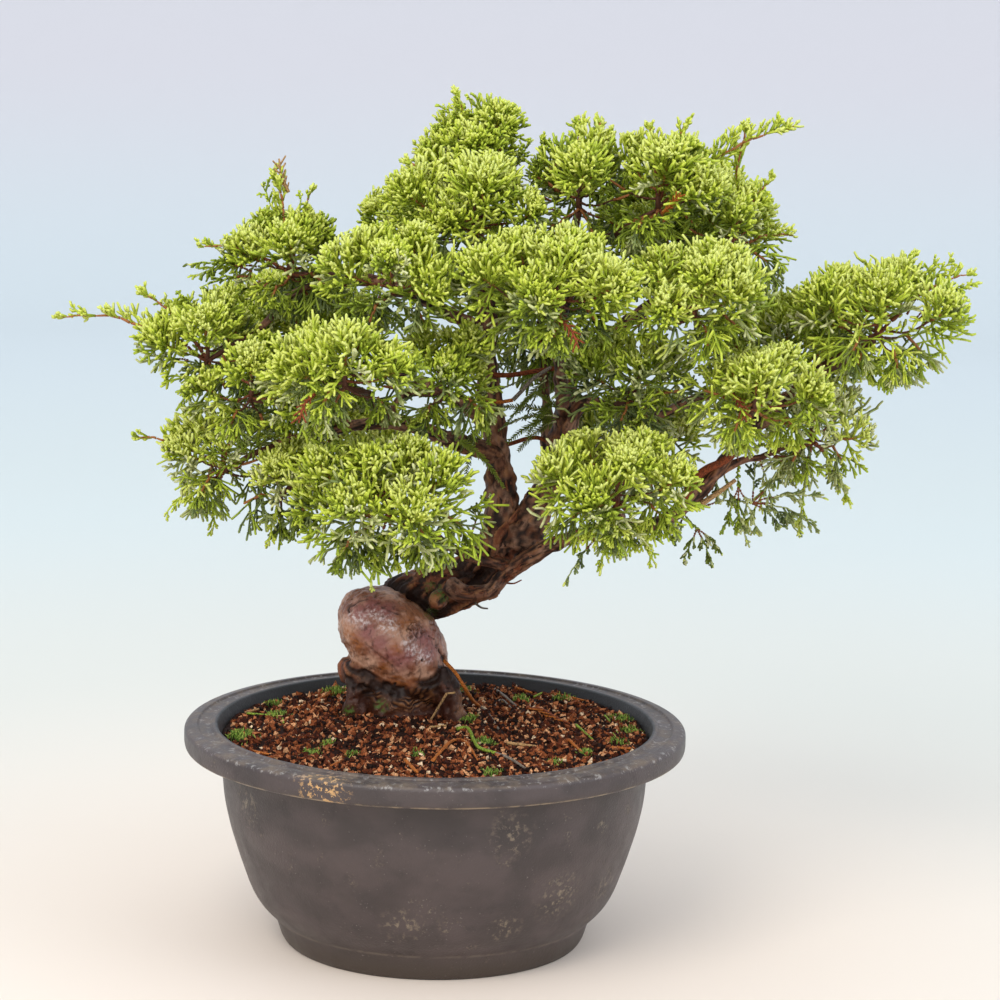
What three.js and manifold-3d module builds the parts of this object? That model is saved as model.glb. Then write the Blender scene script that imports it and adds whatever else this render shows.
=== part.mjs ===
// Itoigawa Chinese juniper bonsai in its round plastic training pot.
//
// Millimetres, +Z up. The origin is the centre of the pot's flat underside. -Y is the front, the side
// that the swollen knuckle of the trunk leans to, and +X is the side of the long right bough.
//
// The tree stands on the soil by its flat cut and carries no soil of its own. The trunk rises into a
// knuckle as big as a fist, turns hard right behind it and forks into two leaders. Boughs spring from
// the trunk and the leaders, each one tapering limb, and every bough ends in one pad of foliage.

import * as THREE from "three";
import { mergeVertices } from "three/addons/utils/BufferGeometryUtils.js";
import Module from "manifold-3d";

const wasm = await Module();
wasm.setup();

// Driving dimensions of the pot.
const POT_HEIGHT = 101;
const RIM_RADIUS = 115;
const RIM_DEPTH = 11;
const RIM_INNER_RADIUS = 100;
const BODY_RADIUS = 98.5;
const FOOT_RADIUS = 68.5;
const FOOT_SPREAD = 4.5;
const FOOT_HEIGHT = 12;
const WALL = 2.6;
const FLOOR = 4;
const POT_SEGMENTS = 32;

// Half of the bowl's outline, radius and height, from above the foot's ledge to below the rim.
const BOWL = [[80, 18], [84.3, 25], [89.4, 39.5], [93.9, 54], [96.7, 67]];

// Vertices closer than this are one, and touching pieces keep this clearance.
const WELD = 1e-3;
const CLEARANCE = 0.3;
const CUT_CLEARANCE = 0.4;

// Driving dimensions of the soil and of the trunk that stands on it.
const GROUND = 95;
const SOIL_LEVEL = GROUND - CLEARANCE;
const SOIL_SHOULDER = 88;
const SOIL_EDGE = 92.5;

const FOOT = {
  at: [-15, 42],
  height: 36,
  drift: [-8, -4],
  radius: 20,
  flare: 0.36,
  flutes: 5,
  fluteDepth: 0.09,
};
const KNUCKLE = { centre: [-21.5, 37, 132], size: [30, 24, 20.5], lean: 40 };
const ROLL = { centre: [-35, 35, 119], size: [11, 14, 8], lean: -12 };
const HEEL = { centre: [-8, 30, 113], size: [16, 14, 8], lean: 24 };
const FORK = { centre: [33, 45, 180], size: [14.5, 11, 10], lean: 0 };
const UPPER_TRUNK = {
  path: [[-26, 42, 133], [-9, 47, 147], [10, 48, 156], [24, 46, 166], [33, 45, 181]],
  radius: [18, 10.5],
};
const ROOT_RIDGES = [
  { path: [[2, 24, 122], [6, 20, 108], [11, 20, 88]], radius: [4.5, 5.5] },
  { path: [[-36, 28, 116], [-38, 26, 106], [-40, 26, 88]], radius: [5, 6] },
];

// Side boughs: their thickness beside the limb they spring from, their tip, and how they bend away.
const SIDE_BOUGH_SHARE = 0.62;
const SIDE_BOUGH_TIP = 1.5;
const SIDE_BOUGH_BEND = 0.4;
const SIDE_BOUGH_SWEEP = 0.28;

// How a pad of foliage is built, as shares of its half-axes and in millimetres.
const ENTRY = 0.8;
const FULLNESS = 1.36;
const CORE = 0.72;
const CORE_LUMPS = 0.07;
const CORE_LEAST = 0.1;
const CORE_STEP = 0.04;
const HEART_DROP = 0.16;
const STEM_KNEE = 2.5;
const STEM_TAPER = 0.7;
const SPACE_MARGIN = 0.035;
const SPRAY_AREA = 1500;
const SPRAY_START = 0.5;
const SPRAY_REACH = 0.93;
const SPRAY_THICKNESS = 0.2;
const SHOOT_RADIUS = 1.2;
const SHOOT_SPRAY = 24;
const SHOOT_ARCH = 0.11;
const SHOOT_KNEE = 0.5;
const LIMB_ROOM = 1.6;
const LIMB_NEAR = 2;

// Half of a twig's outline, across and along, as shares of its length: the bare twig, one side spray, the
// notch, and the leading spray.
const TWIG_HALF = [[0.05, 0], [0.06, 0.42], [0.33, 0.8], [0.11, 0.68], [0, 1]];
const TWIG_MIDDLE = 0.58;
const TWIG_TAPER = 0.6;

const COLOURS = {
  pot: { color: 0x4a484a, roughness: 0.55, metalness: 0 },
  soil: { color: 0x5a3222, roughness: 0.95, metalness: 0 },
  bark: { color: 0x6e4a40, roughness: 0.7, metalness: 0 },
  foliage: { color: 0x86a83a, roughness: 0.6, metalness: 0 },
};

// Pads of foliage: middle, half-axes, and the tips of the shoots that stand out past the pad.
const PAD_PLACES = {
  apex: { at: [14, 26, 359], size: [22, 20, 21], shoots: [[4, 25, 387], [20, 25, 384], [32, 20, 378]] },
  crown_left: { at: [14, -6, 334], size: [33, 26, 23], shoots: [[-20, 6, 358]] },
  crown_centre: { at: [61, 12, 342], size: [25, 32, 24], shoots: [[61, 50, 377], [71, 46, 376]] },
  crown_right: {
    at: [96, 4, 343],
    size: [27, 28, 24],
    shoots: [[160, 0, 376], [109, 5, 379], [91, 5, 376]],
  },
  crown_right_outer: {
    at: [129, 16, 323],
    size: [24, 27, 22],
    shoots: [[135, 5, 378], [149, 15, 353], [160, 10, 326]],
  },
  right_upper_front: { at: [111, -40, 299], size: [33, 28, 22], shoots: [] },
  far_right: { at: [197, 8, 287], size: [36, 30, 23], shoots: [[240, 12, 311], [213, 10, 322]] },
  right_low: {
    at: [170, 14, 238],
    size: [27, 26, 22],
    shoots: [[166, 20, 188], [189, 15, 201], [141, 22, 190]],
  },
  right_mid: { at: [138, -42, 259], size: [29, 26, 21], shoots: [] },
  centre_right: { at: [88, -20, 260], size: [27, 24, 22], shoots: [] },
  front_right_low: { at: [79, -50, 218], size: [32, 28, 23], shoots: [[72, -50, 180], [97, -50, 184]] },
  front_centre: { at: [49, -54, 305], size: [36, 28, 22], shoots: [] },
  centre_left: { at: [1, -32, 261], size: [26, 22, 22], shoots: [] },
  left_upper_front: { at: [-21, -42, 306], size: [28, 26, 20], shoots: [] },
  front_left_mid: { at: [-40, -62, 268], size: [29, 26, 22], shoots: [] },
  front_left_low: {
    at: [-21, -56, 212],
    size: [40, 30, 25],
    shoots: [[-28, -60, 175], [-17, -58, 182], [-42, -58, 187]],
  },
  left_upper: {
    at: [-69, 10, 309],
    size: [25, 26, 21],
    shoots: [[-76, 5, 354], [-59, 6, 344], [-110, 0, 317]],
  },
  left_tip: { at: [-105, -2, 271], size: [24, 27, 22], shoots: [[-175, 0, 284], [-137, 0, 297]] },
  left_centre: { at: [-84, -22, 256], size: [25, 26, 21], shoots: [] },
  left_low: {
    at: [-98, 0, 221],
    size: [24, 29, 23],
    shoots: [[-140, 0, 230], [-103, 0, 186], [-125, 0, 194]],
  },
  left_low_inner: { at: [-71, -15, 211], size: [21, 22, 21], shoots: [[-76, -15, 184]] },
  back_left_top: { at: [-6, 66, 320], size: [28, 33, 25], shoots: [] },
  back_right_top: { at: [111, 70, 322], size: [39, 34, 27], shoots: [] },
  back_centre: { at: [45, 97, 281], size: [38, 31, 32], shoots: [] },
  back_left: { at: [-72, 66, 268], size: [38, 33, 28], shoots: [] },
  back_left_low: { at: [-50, 76, 216], size: [33, 29, 20], shoots: [] },
  back_right: { at: [160, 64, 262], size: [35, 33, 26], shoots: [] },
  back_right_low: { at: [98, 84, 218], size: [33, 29, 21], shoots: [] },
};

// Main limbs: the points they pass, the pad they end in, and the radius at both ends.
const LIMBS = {
  leader_left: {
    pad: "apex",
    path: [[29, 46, 176], [28, 46, 202], [26, 47, 221], [21, 48, 255], [20, 44, 290], [15, 38, 318]],
    radius: [7.6, 2.4],
  },
  leader_right: {
    pad: "crown_centre",
    path: [[37, 44, 176], [45, 42, 194], [53, 40, 212], [57, 37, 240], [57, 36, 262], [53, 33, 290]],
    radius: [8.4, 2.6],
  },
  bough_right: {
    pad: "far_right",
    path: [
      [20, 39, 157], [38, 29, 169], [51, 24, 180], [74, 12, 190],
      [103, 0, 197], [122, 0, 216], [140, 4, 238],
    ],
    radius: [6.4, 2.6],
  },
  bough_front_left: {
    pad: "front_left_low",
    path: [[24, 38, 167], [17, 18, 175], [8, 2, 181]],
    radius: [4.2, 2.2],
  },
  bough_left: {
    pad: "left_low",
    path: [[26, 46, 219], [4, 28, 228], [-20, 4, 239], [-49, -6, 236]],
    radius: [4.4, 2],
  },
  bough_left_high: {
    pad: "left_upper",
    path: [[20, 45, 276], [-2, 34, 288], [-28, 22, 301]],
    radius: [3.6, 1.9],
  },
  bough_right_high: {
    pad: "crown_right_outer",
    path: [[57, 36, 262], [78, 27, 279], [104, 20, 300]],
    radius: [3.8, 2],
  },
  bough_front: {
    pad: "front_centre",
    path: [[57, 37, 240], [55, 12, 256], [52, -14, 275]],
    radius: [3.4, 2],
  },
  bough_back: { pad: "back_centre", path: [[50, 41, 207], [50, 58, 226], [48, 74, 248]], radius: [4, 2.1] },
  bough_back_left: { pad: "back_left", path: [[25, 47, 230], [5, 57, 243], [-24, 62, 254]], radius: [4, 2] },
  bough_back_right: {
    pad: "back_right",
    path: [[48, 41, 200], [74, 50, 220], [108, 58, 240]],
    radius: [4.2, 2],
  },
};

// Side boughs: the limb each springs from, how far along it, and the pad it carries.
const SIDE_BOUGHS = [
  ["leader_left", 0.82, "crown_left"],
  ["leader_left", 0.74, "back_left_top"],
  ["leader_left", 0.52, "centre_left"],
  ["leader_right", 0.88, "crown_right"],
  ["leader_right", 0.36, "centre_right"],
  ["leader_right", 0.76, "back_right_top"],
  ["bough_right", 0.33, "front_right_low"],
  ["bough_right", 0.72, "right_mid"],
  ["bough_right", 0.6, "right_low"],
  ["bough_right_high", 0.6, "right_upper_front"],
  ["bough_left_high", 0.4, "left_upper_front"],
  ["bough_left_high", 0.8, "left_tip"],
  ["bough_left", 0.44, "front_left_mid"],
  ["bough_left", 0.66, "left_centre"],
  ["bough_left", 0.78, "left_low_inner"],
  ["bough_back_left", 0.5, "back_left_low"],
  ["bough_back_right", 0.26, "back_right_low"],
];

// The pads at their full size: they grow into each other, and each keeps to its own side of the seam.
const PADS = Object.fromEntries(
  Object.entries(PAD_PLACES).map(([name, { at, size, shoots }]) => {
    return [name, { at, size: size.map((half) => half * FULLNESS), shoots }];
  }),
);

const UP = new THREE.Vector3(0, 0, 1);
const CYLINDER_AXIS = new THREE.Vector3(0, 1, 0);
const vector = (point) => new THREE.Vector3(...point);
const mix = (from, to, share) => from.clone().lerp(to, share);

// A seeded stream of numbers from 0 to 1, the same on every run.
function seeded(seed) {
  let state = seed >>> 0;
  return () => {
    state = (state + 0x6d2b79f5) >>> 0;
    let mixed = Math.imul(state ^ (state >>> 15), state | 1);
    mixed ^= mixed + Math.imul(mixed ^ (mixed >>> 7), mixed | 61);
    return ((mixed ^ (mixed >>> 14)) >>> 0) / 4294967296;
  };
}

// A closed three.js geometry as a solid that can be joined and cut.
function solid(geometry) {
  const bare = geometry.clone();
  bare.deleteAttribute("normal");
  bare.deleteAttribute("uv");
  const merged = mergeVertices(bare, WELD);
  return new wasm.Manifold(
    new wasm.Mesh({
      numProp: 3,
      vertProperties: new Float32Array(merged.attributes.position.array),
      triVerts: new Uint32Array(merged.index.array),
    }),
  );
}

// A solid as a three.js geometry.
function rawGeometry(body) {
  const mesh = body.getMesh();
  const geometry = new THREE.BufferGeometry();
  geometry.setAttribute("position", new THREE.BufferAttribute(new Float32Array(mesh.vertProperties), 3));
  geometry.setIndex(new THREE.BufferAttribute(new Uint32Array(mesh.triVerts), 1));
  return geometry;
}

const join = (bodies) => bodies.reduce((sum, body) => sum.add(body));

// The biggest of the bodies that a cut leaves; the loose scraps and sealed hollows are dropped.
function biggest(body) {
  const bodies = body.decompose();
  return bodies.reduce((best, next) => (next.volume() > best.volume() ? next : best));
}

// The finished geometry of a solid: vertices closer than the weld are one, and what that pinches off
// is dropped.
function geometryOf(body) {
  return rawGeometry(biggest(solid(rawGeometry(body))));
}

// The inner wall of the pot from its floor to a height, drawn in by a gap. Soil fills it with that gap.
function innerWall(gap, top) {
  const steps = [[FOOT_RADIUS + FOOT_SPREAD, FOOT_HEIGHT], ...BOWL];
  const wall = steps.map(([radius, height]) => new THREE.Vector2(radius - WALL - gap, height + gap));
  return [
    new THREE.Vector2(0, FLOOR + gap),
    new THREE.Vector2(FOOT_RADIUS - WALL - gap, FLOOR + gap),
    ...wall,
    new THREE.Vector2(BODY_RADIUS - WALL - gap, top),
  ];
}

// The pot: a low flaring foot under a small ledge, a bowl that swells quickly and then stands nearly
// upright, and a wide flat rim with a raised outer band and a raised inner lip.
function pot() {
  const rimUnder = POT_HEIGHT - RIM_DEPTH;
  const groove = POT_HEIGHT - 1;
  const outside = [
    [0, 0],
    [FOOT_RADIUS, 0],
    [FOOT_RADIUS + 1.8, 2.5],
    [FOOT_RADIUS + FOOT_SPREAD, FOOT_HEIGHT - 1],
    [FOOT_RADIUS + FOOT_SPREAD + 1.2, FOOT_HEIGHT + 0.6],
    ...BOWL,
    [BODY_RADIUS, rimUnder],
    [RIM_RADIUS - 2.5, rimUnder + 0.5],
    [RIM_RADIUS, rimUnder + 2.5],
    [RIM_RADIUS, POT_HEIGHT - 2.5],
    [RIM_RADIUS - 2.5, POT_HEIGHT],
    [RIM_RADIUS - 6, POT_HEIGHT],
    [RIM_RADIUS - 6.5, groove],
    [RIM_INNER_RADIUS + 3, groove],
    [RIM_INNER_RADIUS + 2.4, POT_HEIGHT],
    [RIM_INNER_RADIUS, POT_HEIGHT],
  ].map(([radius, height]) => new THREE.Vector2(radius, height));
  const inside = innerWall(0, rimUnder).reverse();
  return new THREE.LatheGeometry([...outside, ...inside], POT_SEGMENTS).rotateX(Math.PI / 2);
}

// The soil: it fills the pot to a level top that carries the trunk and falls away towards the wall.
function soil() {
  const side = innerWall(CLEARANCE, SOIL_EDGE);
  const surface = [
    new THREE.Vector2(SOIL_SHOULDER, SOIL_LEVEL - 0.6),
    new THREE.Vector2(SOIL_SHOULDER - 10, SOIL_LEVEL),
    new THREE.Vector2(0, SOIL_LEVEL),
  ];
  return new THREE.LatheGeometry([...side, ...surface], POT_SEGMENTS).rotateX(Math.PI / 2);
}

// A limb round a curve: the rings of a unit cylinder are carried onto the curve and given their radius.
function limb(curve, sides, steps, radiusAt) {
  const geometry = new THREE.CylinderGeometry(1, 1, 1, sides, steps);
  const frames = curve.computeFrenetFrames(steps, false);
  const place = geometry.attributes.position;
  for (let i = 0; i < place.count; i += 1) {
    const ring = Math.round((place.getY(i) + 0.5) * steps);
    const share = ring / steps;
    const across = place.getX(i);
    const along = place.getZ(i);
    const radius = radiusAt(share, Math.atan2(along, across));
    const point = curve.getPointAt(share);
    point.addScaledVector(frames.normals[ring], across * radius);
    point.addScaledVector(frames.binormals[ring], -along * radius);
    place.setXYZ(i, point.x, point.y, point.z);
  }
  return solid(geometry);
}

// A swelling: an ellipsoid that leans about the Y axis, given in degrees.
function swelling({ centre, size, lean }, extra, around = 14, down = 9) {
  const geometry = new THREE.SphereGeometry(1, around, down);
  geometry.scale(...size.map((half) => half + extra));
  geometry.rotateY(THREE.MathUtils.degToRad(lean));
  geometry.translate(...centre);
  return solid(geometry);
}

const curveThrough = (path) => new THREE.CatmullRomCurve3(path.map(vector));

// The trunk: a fluted foot, the knuckle with its rolls, the upper trunk that turns right behind it, the
// fork, and two ridges of root that run down to the soil. Everything below the soil is cut off flat.
// "extra" thickens it, to cut the limbs clear.
function trunk(extra = 0) {
  const [footX, footY] = FOOT.at;
  const [driftX, driftY] = FOOT.drift;
  const footCurve = curveThrough([
    [footX, footY, GROUND - FOOT.height / 3],
    [footX, footY, GROUND],
    [footX + driftX * 0.75, footY + driftY * 0.5, GROUND + FOOT.height / 2],
    [footX + driftX, footY + driftY, GROUND + FOOT.height],
  ]);
  const foot = limb(footCurve, 16, 5, (share, angle) => {
    const flare = 1 + FOOT.flare * (1 - share) ** 2;
    const flutes = 1 + FOOT.fluteDepth * Math.cos(FOOT.flutes * angle) * (1 - share);
    return FOOT.radius * flare * flutes + extra;
  });
  const tapered = ({ path, radius }, sides, steps, power) => {
    const radiusAt = (share) => THREE.MathUtils.lerp(...radius, share ** power) + extra;
    return limb(curveThrough(path), sides, steps, radiusAt);
  };
  const whole = join([
    foot,
    swelling(KNUCKLE, extra),
    swelling(ROLL, extra, 10, 6),
    swelling(HEEL, extra, 10, 6),
    swelling(FORK, extra, 12, 7),
    tapered(UPPER_TRUNK, 10, 6, 0.7),
    ...ROOT_RIDGES.map((ridge) => tapered(ridge, 5, 3, 1)),
  ]);
  const block = 4 * FOOT.height;
  const below = new THREE.BoxGeometry(block, block, block).translate(footX, footY, GROUND - block / 2);
  return biggest(whole.subtract(solid(below)));
}

// How far a point lies from the middle of a pad, in half-axes: 1 is the skin of the pad's ellipsoid.
function shareOf(pad, point) {
  const { at, size } = PADS[pad];
  return Math.hypot((point.x - at[0]) / size[0], (point.y - at[1]) / size[1], (point.z - at[2]) / size[2]);
}

// True where no other pad has a better claim on the point.
function ownPlace(pad, point) {
  const own = shareOf(pad, point) + SPACE_MARGIN;
  return Object.keys(PADS).every((other) => other === pad || shareOf(other, point) > Math.min(own, 1));
}

// The limbs as curves with a radius, in the order in which they grow.
const limbs = new Map();

// The place where a bough that comes from a point enters a pad.
function entry(pad, from) {
  const centre = vector(PADS[pad].at);
  return mix(centre, from, Math.min(ENTRY / shareOf(pad, from), 0.9));
}

// The main limbs along their named points, then the side boughs, each from its limb to its pad.
function growLimbs() {
  for (const [name, { pad, path, radius }] of Object.entries(LIMBS)) {
    const points = path.map(vector);
    points.push(entry(pad, points[points.length - 1]));
    limbs.set(name, { pad, radius, sides: 6, steps: 7, curve: new THREE.CatmullRomCurve3(points) });
  }
  for (const [parent, share, pad] of SIDE_BOUGHS) {
    const { curve, radius } = limbs.get(parent);
    const start = curve.getPointAt(share);
    const end = entry(pad, start);
    const sweep = curve.getTangentAt(share).multiplyScalar(start.distanceTo(end) * SIDE_BOUGH_SWEEP);
    const bend = mix(start, end, SIDE_BOUGH_BEND).add(sweep);
    const thick = Math.max(SIDE_BOUGH_SHARE * THREE.MathUtils.lerp(...radius, share), SIDE_BOUGH_TIP + 0.4);
    limbs.set("bough_" + pad, {
      pad,
      radius: [thick, SIDE_BOUGH_TIP],
      sides: 4,
      steps: 3,
      curve: new THREE.CatmullRomCurve3([start, bend, end]),
    });
  }
}

// A limb's radius falls fast at first and then evenly. "extra" thickens it, to cut its neighbours clear.
function limbSolid({ curve, radius, sides, steps }, extra = 0) {
  return limb(curve, sides, steps, (share) => THREE.MathUtils.lerp(...radius, share ** 0.85) + extra);
}

// Points down the middle of every limb, with the radius there, to keep twigs and sprays off the wood.
function samplesOf({ curve, radius }) {
  const count = 24;
  return Array.from({ length: count + 1 }, (_, i) => ({
    point: curve.getPointAt(i / count),
    radius: THREE.MathUtils.lerp(...radius, i / count),
  }));
}

// A three-sided twig that tapers to its far end.
function twig(from, to, radius) {
  const length = from.distanceTo(to);
  const geometry = new THREE.CylinderGeometry(radius * TWIG_TAPER, radius, length, 3, 1);
  geometry.translate(0, length / 2, 0);
  const direction = to.clone().sub(from).normalize();
  geometry.applyQuaternion(new THREE.Quaternion().setFromUnitVectors(CYLINDER_AXIS, direction));
  geometry.translate(from.x, from.y, from.z);
  return solid(geometry);
}

// A twig that ends in a fork of three sprays of scale leaves, as one closed body: thickest in its middle,
// thin at its edges. "across" gives the way the fork spreads.
function forkedTwig(from, to, across) {
  const along = to.clone().sub(from);
  const length = along.length();
  const side = across.clone().projectOnPlane(along.clone().normalize()).setLength(length);
  const face = along.clone().cross(side).setLength((length * SPRAY_THICKNESS) / 2);
  const half = TWIG_HALF.slice(0, -1);
  const outline = [...half.map(([x, y]) => [-x, y]), TWIG_HALF[half.length], ...half.reverse()];
  const middle = from.clone().addScaledVector(along, TWIG_MIDDLE);
  const points = outline.map(([x, y]) => from.clone().addScaledVector(side, x).addScaledVector(along, y));
  points.push(middle.clone().add(face), middle.clone().sub(face));
  const count = outline.length;
  const faces = outline.flatMap((_, i) => [(i + 1) % count, count, i, i, count + 1, (i + 1) % count]);
  return solid(new THREE.BufferGeometry().setFromPoints(points).setIndex(faces));
}

// Even directions over a sphere, by the golden angle.
function evenDirection(index, count) {
  const height = 1 - (2 * (index + 0.5)) / count;
  const level = Math.sqrt(1 - height * height);
  const angle = index * Math.PI * (3 - Math.sqrt(5));
  return new THREE.Vector3(level * Math.cos(angle), level * Math.sin(angle), height);
}

// A lumpy core that stays inside the pad's own place.
function core(pad, random) {
  const { at, size } = PADS[pad];
  const ball = new THREE.OctahedronGeometry(1, 1).deleteAttribute("normal").deleteAttribute("uv");
  const geometry = mergeVertices(ball, WELD);
  const place = geometry.attributes.position;
  for (let i = 0; i < place.count; i += 1) {
    const outward = new THREE.Vector3().fromBufferAttribute(place, i).multiply(vector(size));
    const placeAt = (share) => outward.clone().multiplyScalar(share).add(vector(at));
    let share = CORE + CORE_LUMPS * (2 * random() - 1);
    while (share > CORE_LEAST && !ownPlace(pad, placeAt(share))) share -= CORE_STEP;
    const point = placeAt(share);
    place.setXYZ(i, point.x, point.y, point.z);
  }
  return solid(geometry);
}

// True where a twig stays in the pad's own place and off every limb.
function fits(pad, from, to) {
  return [0.3, 0.5, 0.7, 0.85, 1].every((share) => {
    const point = mix(from, to, share);
    const inside = shareOf(pad, point) <= 1.01 && ownPlace(pad, point);
    return inside && wood.every((near) => near.point.distanceTo(point) > near.radius + LIMB_ROOM);
  });
}

// A long shoot that arches out of the pad to a named tip: two three-sided twigs that meet in a raised
// knee, with a fork at the end.
function longShoot(heart, tip, random) {
  const knee = mix(heart, tip, SHOOT_KNEE).addScaledVector(UP, SHOOT_ARCH * heart.distanceTo(tip));
  const axis = tip.clone().sub(knee).normalize();
  const reach = Math.min(SHOOT_SPRAY, knee.distanceTo(tip) * 0.8);
  const bare = tip.clone().addScaledVector(axis, -reach * 0.84);
  return [
    twig(heart, knee, SHOOT_RADIUS / TWIG_TAPER),
    twig(knee.clone().addScaledVector(axis, -SHOOT_RADIUS), bare, SHOOT_RADIUS),
    forkedTwig(tip.clone().addScaledVector(axis, -reach), tip, sideways(axis, random)),
  ];
}

// A seeded direction square to an axis.
function sideways(axis, random) {
  const any = new THREE.Vector3(random() - 0.5, random() - 0.5, random() - 0.5);
  return any.projectOnPlane(axis).normalize();
}

// One pad: the stem that goes on from its bough, the core, and twigs that branch from the stem's end
// evenly to all sides, their directions dealt out by the golden angle and their length and turn by the
// seed. A twig that would leave the pad's place or touch a limb is left out.
function foliage(pad, seed, bough) {
  const random = seeded(seed);
  const { at, size, shoots } = PADS[pad];
  const heart = vector(at).addScaledVector(UP, -HEART_DROP * size[2]);
  const tangent = bough.curve.getTangentAt(1);
  const start = bough.curve.getPointAt(1).addScaledVector(tangent, CLEARANCE);
  const knee = start.clone().addScaledVector(tangent, STEM_KNEE);
  const stemCurve = new THREE.CatmullRomCurve3([start, knee, heart]);
  const stem = limb(stemCurve, 5, 2, (share) => bough.radius[1] * THREE.MathUtils.lerp(1, STEM_TAPER, share));
  const bodies = [core(pad, random), stem];
  const skin = (4 * Math.PI * (size[0] * size[1] + size[1] * size[2] + size[2] * size[0])) / 3;
  const sprays = Math.round(skin / SPRAY_AREA);
  for (let index = 0; index < sprays; index += 1) {
    const outward = evenDirection(index, sprays).multiply(vector(size));
    const tip = vector(at).addScaledVector(outward, THREE.MathUtils.lerp(SPRAY_REACH, 1, random()));
    const across = sideways(outward.clone().normalize(), random);
    const root = mix(heart, tip, SPRAY_START);
    if (fits(pad, root, tip)) bodies.push(forkedTwig(root, tip, across));
  }
  for (const shoot of shoots) bodies.push(...longShoot(heart, vector(shoot), random));
  const near = [...limbs.values()].filter(({ curve }) =>
    curve.getPoints(4).some((point) => shareOf(pad, point) < LIMB_NEAR),
  );
  return biggest(near.reduce((body, other) => body.subtract(limbSolid(other, CUT_CLEARANCE)), join(bodies)));
}

growLimbs();
const wood = [...limbs.values()].flatMap(samplesOf);

const bonsai = new THREE.Group();
bonsai.name = "juniper_bonsai";

function addMesh(name, geometry, look) {
  const mesh = new THREE.Mesh(geometry, new THREE.MeshStandardMaterial({ ...look, flatShading: true }));
  mesh.name = name;
  bonsai.add(mesh);
}

addMesh("pot", pot(), COLOURS.pot);
addMesh("soil", soil(), COLOURS.soil);
addMesh("trunk", geometryOf(trunk()), COLOURS.bark);

// Each limb is cut clear of the trunk and of the limbs that grew before it.
const grown = [trunk(CUT_CLEARANCE)];
for (const [name, shape] of limbs) {
  const clear = grown.reduce((body, other) => body.subtract(other), limbSolid(shape));
  addMesh(name, geometryOf(biggest(clear)), COLOURS.bark);
  grown.push(limbSolid(shape, CUT_CLEARANCE));
}

[...limbs.values()].forEach((bough, index) => {
  addMesh("foliage_" + bough.pad, geometryOf(foliage(bough.pad, 11 + index, bough)), COLOURS.foliage);
});

export default bonsai;
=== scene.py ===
# %% [markdown]
# # A potted juniper bonsai
#
# The real tree is an Itoigawa Chinese juniper in a round plastic training pot. Its trunk swells into a
# knuckle as big as a fist, turns, and forks. Everything above the fork is twisted boughs that end in pads
# of fine green shoots.
#
# The solids of the part already have the right size and place. This lesson dresses them. Each step makes
# one piece of the tree as a surface worked out with numpy, gives it a finish, and says which solid it
# stands for. Lengths are written in millimetres, and MM turns them into Blender's metres.

# %% Load the solids that everything is fitted to
import math

import bmesh
import bpy
import numpy as np
from mathutils import Matrix, Vector


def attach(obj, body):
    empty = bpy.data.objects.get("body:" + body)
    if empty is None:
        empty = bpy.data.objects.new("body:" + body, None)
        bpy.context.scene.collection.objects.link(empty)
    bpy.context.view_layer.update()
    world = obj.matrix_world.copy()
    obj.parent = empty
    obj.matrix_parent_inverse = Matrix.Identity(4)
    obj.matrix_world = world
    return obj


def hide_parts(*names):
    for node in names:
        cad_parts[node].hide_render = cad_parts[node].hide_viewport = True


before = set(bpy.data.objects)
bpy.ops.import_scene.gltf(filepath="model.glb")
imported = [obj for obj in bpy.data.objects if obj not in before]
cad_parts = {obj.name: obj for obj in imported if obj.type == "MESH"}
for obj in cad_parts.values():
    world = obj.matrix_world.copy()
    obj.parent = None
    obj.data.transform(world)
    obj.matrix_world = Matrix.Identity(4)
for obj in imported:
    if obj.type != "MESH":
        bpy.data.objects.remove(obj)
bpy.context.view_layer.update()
MM = 0.001
TAU = 2 * math.pi

# %% [markdown]
# ## The camera
#
# The camera stands where the photographer stood: in front of the pot, a little higher than the tree's top,
# looking down by less than ten degrees through a long lens. It was worked out from the ovals of the pot's
# rim and foot.

# %% Place the camera
CAMERA_PLACE = (27.7, -1344, 430)
CAMERA_PITCH = 0.166
CAMERA_ROLL = 0.019
CAMERA_LENS = 108

camera = bpy.data.objects.new("camera", bpy.data.cameras.new("camera"))
camera.data.lens = CAMERA_LENS
camera.data.sensor_width = 36
camera.data.clip_start = 0.05
turn = Matrix.Rotation(TAU / 4 - CAMERA_PITCH, 4, "X") @ Matrix.Rotation(CAMERA_ROLL, 4, "Z")
camera.matrix_world = Matrix.Translation(np.array(CAMERA_PLACE) * MM) @ turn
bpy.context.scene.collection.objects.link(camera)
bpy.context.scene.camera = camera
print("camera", CAMERA_LENS, "mm lens, at", CAMERA_PLACE)

# %% [markdown]
# ## Colours and materials
#
# A colour is picked as an sRGB hex value, and Blender shades in linear light, so one function turns
# the first into the second. Every finish is a small graph of nodes. One helper adds a node, and another
# lays colours over one another, so that a finish reads as a list of what is laid over what.

# %% Colour and node helpers
def linear(text):
    """sRGB hex digits as linear RGBA: divided by 12.92 near black, and a 2.4 power curve above that."""
    share = np.array([int(text[i : i + 2], 16) for i in (0, 2, 4)]) / 255
    curve = np.where(share <= 0.04045, share / 12.92, ((share + 0.055) / 1.055) ** 2.4)
    return (*(float(v) for v in curve), 1.0)


def add_node(tree, kind, settings=None, inputs=None):
    """Adds one node. A socket among the inputs is linked, and any other value is set."""
    node = tree.nodes.new("ShaderNode" + kind)
    for name, value in (settings or {}).items():
        setattr(node, name, value)
    for name, value in (inputs or {}).items():
        if isinstance(value, bpy.types.NodeSocket):
            tree.links.new(value, node.inputs[name])
        else:
            node.inputs[name].default_value = value
    return node

# %% Finishes made of layers
# Nearly all of a noise pattern lies between these two levels.
NOISE_LOW, NOISE_HIGH = 0.3, 0.7


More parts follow.
